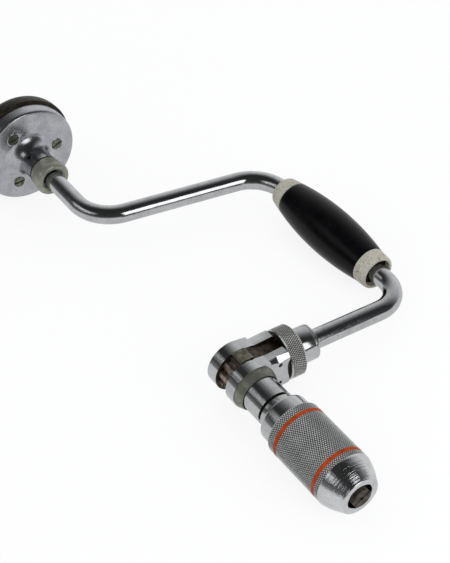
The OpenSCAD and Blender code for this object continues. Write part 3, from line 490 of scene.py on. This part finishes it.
# straight cone with a sine added, so that it bulges a little
noseRadius = s["noseFace"] + (s["radius"] - s["noseFace"]) * t + s["noseBulge"] * np.sin(math.pi * t)
outer = [(*s["mouth"], False), (nosePlace, noseRadius, False),
         ([s["zones"][0][0] - s["seam"]], [s["radius"]], False)]
for zone, following in zip(s["zones"], s["zones"][1:] + [None]):
    rows = knurlRows(zone, s["along"], s["samples"])
    outer.append((rows, np.full(len(rows), s["radius"]), True))
    if following:
        outer.append(([zone[1] + s["seam"], following[0] - s["seam"]], [s["bandFloor"]] * 2, False))
outer.append(([s["end"]], [s["endRadius"]], False))
sleeve = knurledPiece("chuckSleeve", outer, s["inside"], "drill", "sleeve", "knurled_steel", ["chuck_sleeve"], s,
                      lambda radius: 0 * radius)
otherFinish(sleeve, "nose_chrome", lambda centres, normals: centres[:, 0] > -s["shineEnd"])
for end, zone in (("Front", s["zones"][0]), ("Rear", s["zones"][1])):
    front, rear = zone[1] + s["bandGap"], zone[1] + (s["bandWidth"] - s["bandGap"])
    turned("sleeveBand" + end, [(front, s["bandFloor"]), (front, s["bandRadius"], s["bandRounding"]),
                                (rear, s["bandRadius"], s["bandRounding"]), (rear, s["bandFloor"])],
           "drill", "sleeve", "orange_enamel", ["sleeve_band_" + end.lower()], sides=160)
bushSettings = {"profile": [(43.0, 13.08), (43.0, 17.0, 0.3), (62.5, 17.0), (62.5, 16.6), (73.3, 16.6, 1.9),
                            (73.3, 13.5, 0.3), (72.9, 13.08)]}
turned("threadedBush", bushSettings["profile"], "drill", "sleeve", "plated_chuck", ["threaded_bush"], sides=144)
finishedCopy("jawUpper", "jaw_upper", "upper_jaw", "jaw_steel", width=0.2)
finishedCopy("jawLower", "jaw_lower", "lower_jaw", "jaw_steel", width=0.2)
print("chuck built")

# Spindle neck, dark with oil and painted shade in the low groove behind the bush
spindleSettings = {"darkPlaces": (-80.45, -78.5), "darkRadius": 11.8}
spindle = finishedCopy("chuckSpindle", "chuck_spindle", "chuck", "plated_chuck", width=0.15)
otherFinish(spindle, "slot_steel", lambda centres, normals: between(centres[:, 0], spindleSettings["darkPlaces"])
            & (np.hypot(centres[:, 1], centres[:, 2]) < spindleSettings["darkRadius"]))

# Bearing cup round the spindle: a cone with a sine added, over a plain inside
cupSettings = {"front": 95.4, "length": 6.1, "frontRadius": 13.2, "widening": 1.8, "bulge": 0.3, "steps": 13,
               "inside": [(99.6, 7.8), (99.6, 12.8), (95.7, 12.8), (95.3, 13.0, 0.15)],
               "rear": [(101.5, 14.8), (101.5, 7.8)]}
u = cupSettings
turned("thrustCup", u["inside"] + [(u["front"] + u["length"] * k,
                                    u["frontRadius"] + u["widening"] * k + u["bulge"] * math.sin(math.pi * k))
                                   for k in np.linspace(0, 1, u["steps"])] + u["rear"],
       "drill", "crank", "dull_grey_metal", ["thrust_cup"])

# Collar on the arm behind the selector ring, with a thin groove near its end
armCollarSettings = {"profile": [(39.28, 6.5), (39.28, 11.5, 0.4), (49.1, 11.5, 0.15), (49.3, 11.2), (49.8, 11.2),
                                 (50.0, 11.4, 0.15), (51.68, 11.3, 1.5), (51.68, 7.0, 0.4), (51.5, 6.5)]}
turned("armCollar", armCollarSettings["profile"], "arm", "crank", "plated_chuck", ["arm_collar"])

# Selector ring on the arm, its inner cam set off to one side. The ring has about 100 finer
# grooves, drawn as 72 so that they show at the size of the picture.
ringSettings = {
    "start": 27.6, "end": 38.9, "radius": 16.7, "chamfer": 0.7, "grooves": 72, "along": 2.4, "samples": 6,
    "depth": 0.4, "rowGaps": (0.02, 0.1), "bevel": 1.3,
    "rearEdge": ([-1.3, -0.8, -0.15, 0], [16.68, 16.25, 15.55, 15.3]),
    "bore": 9.58, "boreEdge": 0.3, "cam": 11.4, "camEdge": 0.2, "camDepth": 4.0, "camOffset": 1.6,
    "camRows": 0.25, "darkDepth": 0.25,
}
r = ringSettings
rows = knurlRows((r["start"] + r["chamfer"] + r["rowGaps"][0], r["end"] - r["bevel"] - r["rowGaps"][1]),
                 r["along"], r["samples"])
ringOuter = [([r["start"], r["start"] + r["chamfer"]], [r["radius"] - r["chamfer"], r["radius"]], False),
             (rows, np.full(len(rows), r["radius"]), True),
             ([r["end"] + back for back in r["rearEdge"][0]], r["rearEdge"][1], False)]
camFloor = r["start"] + r["camDepth"]
ringInside = [(r["end"], r["bore"] + r["boreEdge"]), (r["end"] - r["boreEdge"], r["bore"]), (camFloor, r["bore"]),
              (camFloor, r["cam"]), (r["start"] + r["camEdge"], r["cam"]), (r["start"], r["cam"] + r["camEdge"])]
ring = knurledPiece("selectorRing", ringOuter, ringInside, "arm", "selector", "knurled_steel", ["selector_ring"], r,
                    lambda radius: np.where(np.abs(radius - r["cam"]) < r["camRows"], -r["camOffset"], 0.0))


def ringPlace(centres):
    # place of each face along the arm, and its distance from the arm's axis
    origin, along, across = (np.array(v, float) for v in axes["arm"][:3])
    return (centres - origin) @ along, np.hypot((centres - origin) @ across, centres[:, 2])


# the ring's front face, in the narrow gap to the housing, gets the dark slot steel as painted shade
def onRingFront(centres, normals):
    place, reach = ringPlace(centres)
    return (place < r["start"] + r["darkDepth"]) & (reach < r["radius"] - r["chamfer"])


def onRingChamfer(centres, normals):
    place, reach = ringPlace(centres)
    return between(place, (r["start"], r["start"] + r["chamfer"])) & (reach > r["radius"] - r["chamfer"])


otherFinish(ring, "slot_steel", onRingFront)
otherFinish(ring, "nose_chrome", onRingChamfer)

# Housing with its slot for the pawls. A shallow notch runs along the block's upper near corner,
# an arc of 3.6 mm, with a ramp at its end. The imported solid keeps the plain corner, and the
# floor's tilt is chosen so that it mirrors the softbox.
notchSettings = {"point": (-102.99, 20.5, 11.65), "normal": (0.7165, -0.055, 0.6954), "half": 6,
                 "outline": [(-6.1, 8), (-6.1, 1.0), (-2.4, 0), (7.2, 0), (7.2, 8)]}
housingSettings = {"slot": (-120.1, -109.4), "notchBeyond": (-108, 13, 7), "floorFacing": 0.995}
housing = finishedCopy("ratchetHousing", "ratchet_housing", "crank", "housing_steel", width=0.35, segments=3,
                       notch=notchSettings)


def onNotchFloor(centres, normals):
    facing = normals @ notchFrame(notchSettings)[0]
    return (centres > housingSettings["notchBeyond"]).all(1) & (facing > housingSettings["floorFacing"])


# the slot's inside gets the dark slot steel: oil, and painted shade in the recess
otherFinish(housing, "slot_steel", lambda centres, normals: between(centres[:, 0], housingSettings["slot"]))
# the notch floor, which mirrors the softbox, gets a lighter chrome: a painted highlight
otherFinish(housing, "corner_chrome", onNotchFloor)
finishedCopy("ratchetWheel", "ratchet_wheel", "chuck", "worn_steel", width=0.2)
# each pawl's side towards the ring gets the dark slot steel as painted shade
pawlSettings = {"darkBeyond": 5.2}  # the side towards the ring is as dark as the slot
for end in ("Upper", "Lower"):
    pawl = finishedCopy("pawl" + end, "pawl_" + end.lower(), end.lower() + "_pawl", "worn_steel", width=0.25)
    otherFinish(pawl, "slot_steel", lambda centres, normals: centres[:, 1] > pawlSettings["darkBeyond"])
finishedCopy("spindleScrew", "spindle_screw", "chuck", "screw_steel", width=0.2)
finishedCopy("pawlPins", "pawl_pins", "crank", "inner_steel", width=0.2)
print("ratchet built")


# Materials. A pattern's scale counts its cells in a metre: 90 is a cloud of 11 mm, 700 grit of
# 1.4 mm and 1500 of 0.7 mm. A pixel of the picture is about 0.5 mm of the tool, so grit, pores
# and buffing lines, which are finer on a real one, are drawn near that size so that they show.
# Number keys are sockets: Mix 0, 6 and 7 are its factor and colours, Map Range 0 to 4 its value,
# the range it comes from and the one it goes to, and Math 0 to 2 its values in turn.
def newMaterial(name):
    made = bpy.data.materials.new(name)
    made.use_nodes = True
    made.node_tree.nodes.clear()
    return made, made.node_tree


def add(tree, kind, inputs=None, out=0, stops=None, **properties):
    # Adds one node with its settings and links and gives back one of its outputs. An input takes
    # a value, a hex colour or the output that feeds it. Stops are places and values of a ramp.
    node = tree.nodes.new("ShaderNode" + kind)
    for key, value in properties.items():
        setattr(node, key, value)
    for k, (place, value) in enumerate(stops or []):
        element = node.color_ramp.elements[k] if k < 2 else node.color_ramp.elements.new(place)
        element.position = place
        element.color = toLinear(value) if isinstance(value, str) else (value, value, value, 1)
    for key, value in (inputs or {}).items():
        if isinstance(value, bpy.types.NodeSocket):
            tree.links.new(value, node.inputs[key])
        else:
            node.inputs[key].default_value = toLinear(value) if isinstance(value, str) else value
    return node.outputs[out] if len(node.outputs) else node


def stained(tree, spot, tone, colour, grain, stops):
    # Lays a colour over a tone where noise is high, and gives back the new tone and the noise.
    # The grain is the noise's scale, detail and roughness, and the stops turn it into a mask.
    noise = add(tree, "TexNoise", {"Vector": spot, "Scale": grain[0], "Detail": grain[1], "Roughness": grain[2]})
    mask = add(tree, "ValToRGB", {"Fac": noise}, stops=stops)
    return add(tree, "Mix", {0: mask, 6: tone, 7: colour}, 2, data_type="RGBA"), noise


def chrome(name, look):
    # Decorative chromium over steel, buffed then used: sharp reflections broken by hair lines along
    # the buffing, small brown pits, and a faint haze where hands have dulled it
    made, tree = newMaterial(name)
    spot = add(tree, "TexCoord", out="Object")
    source = add(tree, "UVMap", uv_map="patternMap") if look["mapped"] else spot
    hairSpot = add(tree, "Mapping", {"Vector": source, "Scale": look["hair"]})
    hair = add(tree, "TexNoise", {"Vector": hairSpot, "Scale": 1.0, "Detail": 2, "Roughness": 0.6})
    tone, haze = stained(tree, spot, look["light"], look["dark"], (90, 5, 0.6), [(0.35, 0), (0.7, 1)])
    tone, grit = stained(tree, spot, tone, look["stain"], (look["grit"], 3, 0.7), [(0.5, 0), (0.74, look["dirt"])])
    # pits of up to half a millimetre, at most one in 1.6 mm, and none where the spread is high
    pit = add(tree, "TexVoronoi", {"Vector": spot, "Scale": 620})
    spread = add(tree, "TexNoise", {"Vector": spot, "Scale": 150, "Detail": 3})
    edge = add(tree, "Math", {0: spread, 1: -0.55, 2: 0.27}, operation="MULTIPLY_ADD")
    pitMask = add(tree, "Math", {0: pit, 1: edge}, operation="SUBTRACT")
    pitMask = add(tree, "ValToRGB", {"Fac": pitMask}, stops=[(0, look["pits"]), (0.055, 0)])
    tone = add(tree, "Mix", {0: pitMask, 6: tone, 7: "#3e3024"}, 2, data_type="RGBA")
    rough = add(tree, "MapRange", {0: haze, 1: 0.35, 2: 0.7, 3: look["rough"] * 0.7, 4: look["rough"] * 1.7})
    rough = add(tree, "Math", {0: pitMask, 1: 0.35, 2: rough}, operation="MULTIPLY_ADD")
    height = add(tree, "Math", {0: hair, 1: pitMask}, operation="SUBTRACT")
    height = add(tree, "Math", {0: grit, 1: look["gritHeight"], 2: height}, operation="MULTIPLY_ADD")
    bump = add(tree, "Bump", {"Strength": look["bump"], "Distance": 0.0003, "Height": height})
    shader = add(tree, "BsdfPrincipled", {"Base Color": tone, "Metallic": 1.0, "Roughness": rough, "Normal": bump})
    add(tree, "OutputMaterial", {"Surface": shader})
    return made


def knurledSteel(name, look):
    # Plated steel with crossed cut grooves: bright worn points, and the grooves darkened by their depth, as dirt
    # packed in them and painted shade
    made, tree = newMaterial(name)
    spot = add(tree, "TexCoord", out="Object")
    high = add(tree, "Attribute", out="Fac", attribute_name="grooveHeight")
    metal, _ = stained(tree, spot, look["point"], look["flank"], (1500, 3, 0.7), [(0.4, 0), (0.7, 0.6)])
    patch = add(tree, "TexNoise", {"Vector": spot, "Scale": 120, "Detail": 4, "Roughness": 0.6})
    # low places darken towards the groove colour: dirt and painted shade
    grooveDirtAndShade = add(tree, "MapRange", {0: high, 1: 0.26, 2: 0.62, 3: 1.0, 4: 0.0})
    more = add(tree, "MapRange", {0: patch, 1: 0.35, 2: 0.65, 3: 0.85, 4: 1.0})
    grooveDirtAndShade = add(tree, "Math", {0: grooveDirtAndShade, 1: more}, operation="MULTIPLY")
    tone = add(tree, "Mix", {0: grooveDirtAndShade, 6: metal, 7: look["groove"]}, 2, data_type="RGBA")
    metallic = add(tree, "MapRange", {0: grooveDirtAndShade, 1: 0.0, 2: 1.0, 3: look["metal"], 4: 0.2})
    rough = add(tree, "MapRange", {0: grooveDirtAndShade, 1: 0.0, 2: 1.0, 3: 0.26, 4: 0.7})
    shader = add(tree, "BsdfPrincipled", {"Base Color": tone, "Metallic": metallic, "Roughness": rough})
    add(tree, "OutputMaterial", {"Surface": shader})
    return made


def dullMetal(name, look):
    # Zinc plate or plain ground steel, dulled by use: soft reflections, cloudy stains, fine grit
    made, tree = newMaterial(name)
    spot = add(tree, "TexCoord", out="Object")
    tone, cloud = stained(tree, spot, look["light"], look["dark"], (look["cloud"], 6, 0.65), [(0.35, 0), (0.68, 1)])
    tone, grit = stained(tree, spot, tone, look["stain"], (1500, 3, 0.7), [(0.52, 0), (0.74, look["dirt"])])
    rough = add(tree, "MapRange", {0: cloud, 1: 0.3, 2: 0.7, 3: look["rough"] * 0.8, 4: look["rough"] * 1.25})
    bump = add(tree, "Bump", {"Strength": 0.25, "Distance": 0.0002, "Height": grit})
    shader = add(tree, "BsdfPrincipled", {"Base Color": tone, "Metallic": look["metal"], "Roughness": rough,
                                          "Normal": bump})
    add(tree, "OutputMaterial", {"Surface": shader})
    return made


def headNickel():
    # Nickel plate: polished on the neck and the rim, fading to a brushed and clouded satin face
    made, tree = newMaterial("handPolishedNickelPlate")
    spot = add(tree, "TexCoord", out="Object")
    across = add(tree, "VectorMath", {0: spot, 1: (0, 1, 1)}, operation="MULTIPLY")
    reach = add(tree, "VectorMath", {0: across}, "Value", operation="LENGTH")
    # the face lies between 13 and 37 mm from the axis, here in metres
    outside = add(tree, "MapRange", {0: reach, 1: 0.013, 2: 0.023, 3: 0.0, 4: 1.0})
    inside = add(tree, "MapRange", {0: reach, 1: 0.0362, 2: 0.037, 3: 1.0, 4: 0.0})
    face = add(tree, "Math", {0: outside, 1: inside}, operation="MULTIPLY")
    tone, cloud = stained(tree, spot, "#c4c5c9", "#a9aab0", (90, 6, 0.65), [(0.35, 0), (0.68, 1)])
    tone, grit = stained(tree, spot, tone, "#86868a", (1100, 3, 0.7), [(0.5, 0), (0.74, 0.7)])
    pit = add(tree, "TexVoronoi", {"Vector": spot, "Scale": 170})
    pitMask = add(tree, "ValToRGB", {"Fac": pit}, stops=[(0.05, 0.8), (0.09, 0)])
    tone = add(tree, "Mix", {0: pitMask, 6: tone, 7: "#5a4e46"}, 2, data_type="RGBA")
    rough = add(tree, "MapRange", {0: face, 1: 0.0, 2: 1.0, 3: 0.17, 4: 0.24})
    uneven = add(tree, "MapRange", {0: cloud, 1: 0.3, 2: 0.7, 3: 0.8, 4: 1.3})
    rough = add(tree, "Math", {0: rough, 1: uneven}, operation="MULTIPLY")
    bump = add(tree, "Bump", {"Strength": 0.2, "Distance": 0.0002, "Height": grit})
    shader = add(tree, "BsdfPrincipled", {"Base Color": tone, "Metallic": 1.0, "Roughness": rough, "Normal": bump})
    add(tree, "OutputMaterial", {"Surface": shader})
    return made


def blackLacquer():
    # Hardwood under black lacquer: even semi-gloss, a few dents and pale dust specks
    made, tree = newMaterial("blackLacqueredBeech")
    spot = add(tree, "TexCoord", out="Object")
    grainSpot = add(tree, "Mapping", {"Vector": spot, "Scale": (0.12, 1, 1)})
    grain = add(tree, "TexNoise", {"Vector": grainSpot, "Scale": 900, "Detail": 4, "Roughness": 0.6})
    tone, cloud = stained(tree, spot, "#08080a", "#101012", (70, 4, 0.6), [(0.35, 0), (0.7, 1)])
    dust = add(tree, "TexVoronoi", {"Vector": spot, "Scale": 260})
    dust = add(tree, "ValToRGB", {"Fac": dust}, stops=[(0.03, 0.5), (0.06, 0)])
    tone = add(tree, "Mix", {0: dust, 6: tone, 7: "#565658"}, 2, data_type="RGBA")
    rough = add(tree, "MapRange", {0: cloud, 1: 0.3, 2: 0.7, 3: 0.16, 4: 0.3})
    bump = add(tree, "Bump", {"Strength": 0.12, "Distance": 0.0003, "Height": grain})
    shader = add(tree, "BsdfPrincipled", {"Base Color": tone, "Roughness": rough, "Specular IOR Level": 0.14,
                                          "Normal": bump})
    add(tree, "OutputMaterial", {"Surface": shader})
    return made


def domeWood():
    # Dark varnished hardwood: brown-black grain rings under a worn varnish
    made, tree = newMaterial("darkVarnishedBeech")
    spot = add(tree, "TexCoord", out="Object")
    turnedSpot = add(tree, "Mapping", {"Vector": spot, "Scale": (0.35, 1, 1), "Rotation": (0.2, 0, 0)})
    rings = add(tree, "TexWave", {"Vector": turnedSpot, "Scale": 130, "Distortion": 5, "Detail": 3,
                                  "Detail Scale": 1.5}, "Fac")
    poreSpot = add(tree, "Mapping", {"Vector": spot, "Scale": (1, 0.1, 1)})
    tone = add(tree, "Mix", {0: rings, 6: "#1b1913", 7: "#332b1f"}, 2, data_type="RGBA")
    tone, pore = stained(tree, poreSpot, tone, "#0d0b09", (1200, 4, 0.6), [(0.5, 0), (0.7, 0.7)])
    rough = add(tree, "MapRange", {0: pore, 1: 0.3, 2: 0.7, 3: 0.28, 4: 0.5})
    bump = add(tree, "Bump", {"Strength": 0.3, "Distance": 0.0003, "Height": pore})
    shader = add(tree, "BsdfPrincipled", {"Base Color": tone, "Roughness": rough, "Specular IOR Level": 0.2,
                                          "Normal": bump})
    add(tree, "OutputMaterial", {"Surface": shader})
    return made


def agedIvory():
    # Moulded cream plastic gone grey: matte, with brown dirt held in pores and scratches
    made, tree = newMaterial("agedMouldedCaseinPlastic")
    spot = add(tree, "TexCoord", out="Object")
    tone, _ = stained(tree, spot, "#dcd8cb", "#c5bfac", (110, 5, 0.6), [(0.3, 0), (0.7, 1)])
    tone, speck = stained(tree, spot, tone, "#5e543f", (800, 5, 0.75), [(0.53, 0), (0.64, 0.85)])
    bump = add(tree, "Bump", {"Strength": 0.3, "Distance": 0.0002, "Height": speck})
    shader = add(tree, "BsdfPrincipled", {"Base Color": tone, "Roughness": 0.55, "Normal": bump})
    add(tree, "OutputMaterial", {"Surface": shader})
    return made


def orangeEnamel():
    # Orange enamel in a groove: dull, cloudy in tone, worn to dark metal in spots
    made, tree = newMaterial("orangeEnamelPaint")
    spot = add(tree, "TexCoord", out="Object")
    tone, _ = stained(tree, spot, "#cf4f10", "#a53806", (170, 4, 0.6), [(0.35, 0), (0.7, 1)])
    tone, _ = stained(tree, spot, tone, "#4a2a1a", (260, 4, 0.7), [(0.59, 0), (0.68, 0.85)])
    shader = add(tree, "BsdfPrincipled", {"Base Color": tone, "Roughness": 0.5, "Specular IOR Level": 0.2})
    add(tree, "OutputMaterial", {"Surface": shader})
    return made


def oiledSteel(name, look):
    # Bare hardened steel under old oil: brown film in the hollows, rubbed grey on the high places
    made, tree = newMaterial(name)
    spot = add(tree, "TexCoord", out="Object")
    streakSpot = add(tree, "Mapping", {"Vector": spot, "Scale": (0.25, 1, 1)})
    tone, cloud = stained(tree, spot, look["light"], look["dark"], (260, 5, 0.65), [(0.38, 0), (0.62, 1)])
    tone, grit = stained(tree, streakSpot, tone, look["rust"], (1400, 4, 0.7), [(0.48, 0), (0.66, 0.8)])
    metallic = add(tree, "MapRange", {0: grit, 1: 0.38, 2: 0.66, 3: 0.95, 4: 0.5})
    rough = add(tree, "MapRange", {0: cloud, 1: 0.3, 2: 0.7, 3: look["rough"] * 0.75, 4: look["rough"] * 1.3})
    bump = add(tree, "Bump", {"Strength": 0.4, "Distance": 0.0003, "Height": grit})
    shader = add(tree, "BsdfPrincipled", {"Base Color": tone, "Metallic": metallic, "Roughness": rough,
                                          "Normal": bump})
    add(tree, "OutputMaterial", {"Surface": shader})
    return made


def fibre():
    # Pressed brown fibre washer: matte and slightly mottled
    made, tree = newMaterial("pressedFibreBoard")
    spot = add(tree, "TexCoord", out="Object")
    mottle = add(tree, "TexNoise", {"Vector": spot, "Scale": 700, "Detail": 4, "Roughness": 0.6})
    tone = add(tree, "Mix", {0: mottle, 6: "#3c261c", 7: "#1d120d"}, 2, data_type="RGBA")
    shader = add(tree, "BsdfPrincipled", {"Base Color": tone, "Roughness": 0.7})
    add(tree, "OutputMaterial", {"Surface": shader})
    return made


rodLook = {"light": "#c8cacc", "dark": "#b4b6b8", "stain": "#8a8a88", "rough": 0.085, "pits": 0.9, "dirt": 0.5,
           "grit": 700, "gritHeight": 0.25, "bump": 0.1, "mapped": True, "hair": (0.05, 2.2, 1)}
chuckLook = dict(rodLook, rough=0.11, mapped=False, hair=(2200, 120, 120), bump=0.14, gritHeight=0.6)
noseLook = dict(chuckLook, light="#dcdee0", dark="#c4c6c8", hair=(1300, 18, 18), bump=0.7, rough=0.06, dirt=0.3)
# lighter chrome for the notch floor, brightening its reflection of the softbox: a painted highlight
cornerHighlightLook = dict(chuckLook, light="#e0e1e2", dark="#cfd0d2", rough=0.16)
housingLook = dict(chuckLook, hair=(400, 400, 400), bump=0.12, rough=0.085, dirt=0.4, gritHeight=0.3)
# the groove colour stands for dirt in the knurl's grooves and painted shade
sleeveLook = {"point": "#eeefee", "flank": "#a3a4a0", "groove": "#1d1b18", "metal": 0.5}
ringLook = {"point": "#dadbd6", "flank": "#a5a69f", "groove": "#191815", "metal": 0.5}
cupLook = {"light": "#8f9184", "dark": "#6f7266", "stain": "#505247", "rough": 0.4, "cloud": 160, "dirt": 0.6,
           "metal": 0.6}
collarLook = dict(cupLook, light="#b0b2a3", dark="#8d9082", stain="#66685c", rough=0.42)
screwLook = dict(cupLook, light="#8c8f80", dark="#3a3c31", stain="#1b1d17", rough=0.26, cloud=420, dirt=0.8,
                 metal=0.7)
innerLook = dict(cupLook, light="#8b8d8e", dark="#66686a", stain="#4a4a4a", rough=0.35, dirt=0.5, metal=1.0)
wornLook = {"light": "#b8ada0", "dark": "#6f5c4e", "rust": "#5c3a29", "rough": 0.34}
pawlLook = {"light": "#8b8a7c", "dark": "#5f5d50", "rust": "#3f3a2c", "rough": 0.36}
# dark oily steel that also serves as painted shade: laid on the slot's inside, the spindle's groove, the pawls'
# ring side and the ring's front face
slotOilAndShadeLook = {"light": "#4f4736", "dark": "#2e281d", "rust": "#33261a", "rough": 0.45}
jawLook = {"light": "#5d564d", "dark": "#38322c", "rust": "#2c241d", "rough": 0.45}
materials = {
    "plated_rod": chrome("buffedChromePlate", rodLook),
    "plated_chuck": chrome("turnedChromePlate", chuckLook),
    "nose_chrome": chrome("turnedNoseChromePlate", noseLook),
    "corner_chrome": chrome("lightenedHighlightCornerChrome", cornerHighlightLook),
    "housing_steel": chrome("chromePlatedForging", housingLook),
    "knurled_steel": knurledSteel("platedKnurledSteel", sleeveLook),
    "ring_steel": knurledSteel("blackedKnurledSteel", ringLook),
    "dull_grey_metal": dullMetal("dullZincPlate", cupLook),
    "satin_plate": headNickel(),
    "collar_metal": dullMetal("cleanZincPlate", collarLook),
    "screw_steel": dullMetal("grimySteelScrew", screwLook),
    "inner_steel": dullMetal("groundSteel", innerLook),
    "worn_steel": oiledSteel("oiledRatchetSteel", wornLook),
    "pawl_steel": oiledSteel("rubbedPawlSteel", pawlLook),
    "slot_steel": oiledSteel("oiledAndShadedSlotSteel", slotOilAndShadeLook),
    "jaw_steel": oiledSteel("hardenedJawSteel", jawLook),
    "brown_fibre": fibre(),
    "dark_head_wood": domeWood(),
    "black_grip_wood": blackLacquer(),
    "aged_ivory": agedIvory(),
    "orange_enamel": orangeEnamel(),
}
# pieces whose finish differs from the others of their slot
variants = {"selectorRing": "ring_steel", "pawlUpper": "pawl_steel", "pawlLower": "pawl_steel",
            "headCollar": "collar_metal"}
for shown in bpy.data.objects:
    if shown.type == "MESH" and "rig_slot" in shown:
        shown.data.materials.append(materials[variants.get(shown.name, shown["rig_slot"])])
for piece, slotName, test in ownFinish:
    mesh = piece.data
    mesh.materials.append(materials[slotName])
    index = np.zeros(len(mesh.polygons), np.int32)
    mesh.polygons.foreach_get("material_index", index)
    index[test(faceValues(mesh, "center", 3) / mm, faceValues(mesh, "normal", 3))] = len(mesh.materials) - 1
    mesh.polygons.foreach_set("material_index", index)
slotOf = {part["node"]: part["material_slot"] for part in frame["record"]["subparts"]}
for name, node in nodes.items():
    # the rod's finish follows a map that only the swept rod has, so its hidden solid goes without
    finish = "inner_steel" if slotOf[name] == "plated_rod" else slotOf[name]
    for index in range(len(node.material_slots)):
        node.material_slots[index].link = "OBJECT"
        node.material_slots[index].material = materials[finish]
print("materials made:", len(materials))

# Table: a wide sheet on which the tool rests, seen white by the camera
stageSettings = {"normal": (-0.05087, -0.0886, 0.99476), "height": -18.06, "size": 2600, "middle": (-150, 50)}
normal = np.array(stageSettings["normal"]) / np.linalg.norm(stageSettings["normal"])
u = np.cross([0, 1, 0], normal)
u /= np.linalg.norm(u)
w = np.cross(normal, u)
middle = normal * stageSettings["height"] + u * stageSettings["middle"][0] + w * stageSettings["middle"][1]
half = stageSettings["size"] / 2
corners = np.array([middle + a * half * u + b * half * w for a, b in ((-1, -1), (1, -1), (1, 1), (-1, 1))])
floorMesh = bpy.data.meshes.new("floor")
floorMesh.from_pydata((corners * mm).tolist(), [], [[0, 1, 2, 3]])
floor = bpy.data.objects.new("floor", floorMesh)
scene.collection.objects.link(floor)
# White paper: matt where it lights the tool, and even white where the camera sees it
paper, tree = newMaterial("whitePaperFloor")
glossy = add(tree, "LightPath", out="Is Glossy Ray")
seen = add(tree, "Math", {0: add(tree, "LightPath", out="Is Camera Ray"), 1: glossy}, operation="MAXIMUM")
seen = add(tree, "Math", {0: seen, 1: add(tree, "LightPath", out="Is Transmission Ray")}, operation="MAXIMUM")
share = add(tree, "Math", {0: seen, 1: 0.8}, operation="MULTIPLY")
# metal sees the table dimmer than the camera does
strength = add(tree, "Math", {0: glossy, 1: -0.26, 2: 1.08}, operation="MULTIPLY_ADD")
glow = add(tree, "Emission", {"Strength": strength})
matt = add(tree, "BsdfDiffuse", {"Color": (0.9, 0.9, 0.9, 1)})
add(tree, "OutputMaterial", {"Surface": add(tree, "MixShader", {0: share, 1: matt, 2: glow})})
floorMesh.materials.append(paper)

# Room that the metal reflects: a pale wall to one side that fades with the angle from its middle,
# a dark ceiling, and broken small lights in a low band to the other side
world = bpy.data.worlds.new("studio")
scene.world = world
world.use_nodes = True
tree = world.node_tree
tree.nodes.clear()
direction = add(tree, "TexCoord", out="Generated")
toWall = add(tree, "VectorMath", {0: direction, 1: (-0.616, 0.788, 0.0)}, "Value", operation="DOT_PRODUCT")
wall = add(tree, "ValToRGB", {"Fac": toWall}, stops=[(0.22, 0.0), (0.42, 0.12), (0.55, 0.27), (0.68, 0.48),
                                                    (0.82, 0.68), (1.0, 0.8)])
rise = add(tree, "SeparateXYZ", {0: direction}, "Z")
base = add(tree, "ValToRGB", {"Fac": rise}, stops=[(0.0, 0.22), (0.15, 0.12), (0.32, 0.05), (1.0, 0.03)])
toBroken = add(tree, "VectorMath", {0: direction, 1: (-0.19, -0.826, 0.53)}, "Value", operation="DOT_PRODUCT")
lobe = add(tree, "ValToRGB", {"Fac": toBroken}, stops=[(0.84, 0.0), (0.95, 1.0)])
band = add(tree, "ValToRGB", {"Fac": rise}, stops=[(0.28, 0.0), (0.42, 1.0), (0.6, 1.0), (0.76, 0.0)])
flecks = add(tree, "TexNoise", {"Vector": direction, "Scale": 16, "Detail": 3, "Roughness": 0.6})
flecks = add(tree, "ValToRGB", {"Fac": flecks}, stops=[(0.42, 0.05), (0.62, 1.0)])
broken = add(tree, "Math", {0: lobe, 1: band}, operation="MULTIPLY")
broken = add(tree, "Math", {0: broken, 1: flecks}, operation="MULTIPLY")
room = add(tree, "Math", {0: wall, 1: base}, operation="ADD")
room = add(tree, "Math", {0: broken, 1: 1.5, 2: room}, operation="MULTIPLY_ADD")
# metal mirrors the room, other surfaces are lit by an even sky, and the camera sees white
mirror = add(tree, "Background", {"Color": (1, 1, 1, 1), "Strength": room})
plain = add(tree, "Background", {"Color": (0.96, 0.98, 1, 1), "Strength": 0.66})
white = add(tree, "Background", {"Color": (1, 1, 1, 1), "Strength": 1.0})
mixed = add(tree, "MixShader", {0: add(tree, "LightPath", out="Is Glossy Ray"), 1: plain, 2: mirror})
straight = add(tree, "Math", {0: add(tree, "LightPath", out="Is Camera Ray"),
                              1: add(tree, "LightPath", out="Is Transmission Ray")}, operation="MAXIMUM")
add(tree, "OutputWorld", {"Surface": add(tree, "MixShader", {0: straight, 1: mixed, 2: white})})

# Soft light: one large box to the right, about a metre off, its power in watts
lampSettings = {"place": (760, 200, 600), "target": (-150, 50, 0), "size": (500, 660), "power": 2.05}
lampData = bpy.data.lights.new("rightSoftbox", "AREA")
lampData.shape = "RECTANGLE"
lampData.size, lampData.size_y = (side * mm for side in lampSettings["size"])
lampData.energy = lampSettings["power"]
lamp = bpy.data.objects.new("rightSoftbox", lampData)
place, target = np.array(lampSettings["place"]) * mm, np.array(lampSettings["target"]) * mm
back = (place - target) / np.linalg.norm(place - target)
right = np.cross([0, 0, 1], back)
right /= np.linalg.norm(right)
standing(lamp, right, np.cross(back, right), back, place)
scene.view_settings.view_transform = "Standard"
print("stage lit")
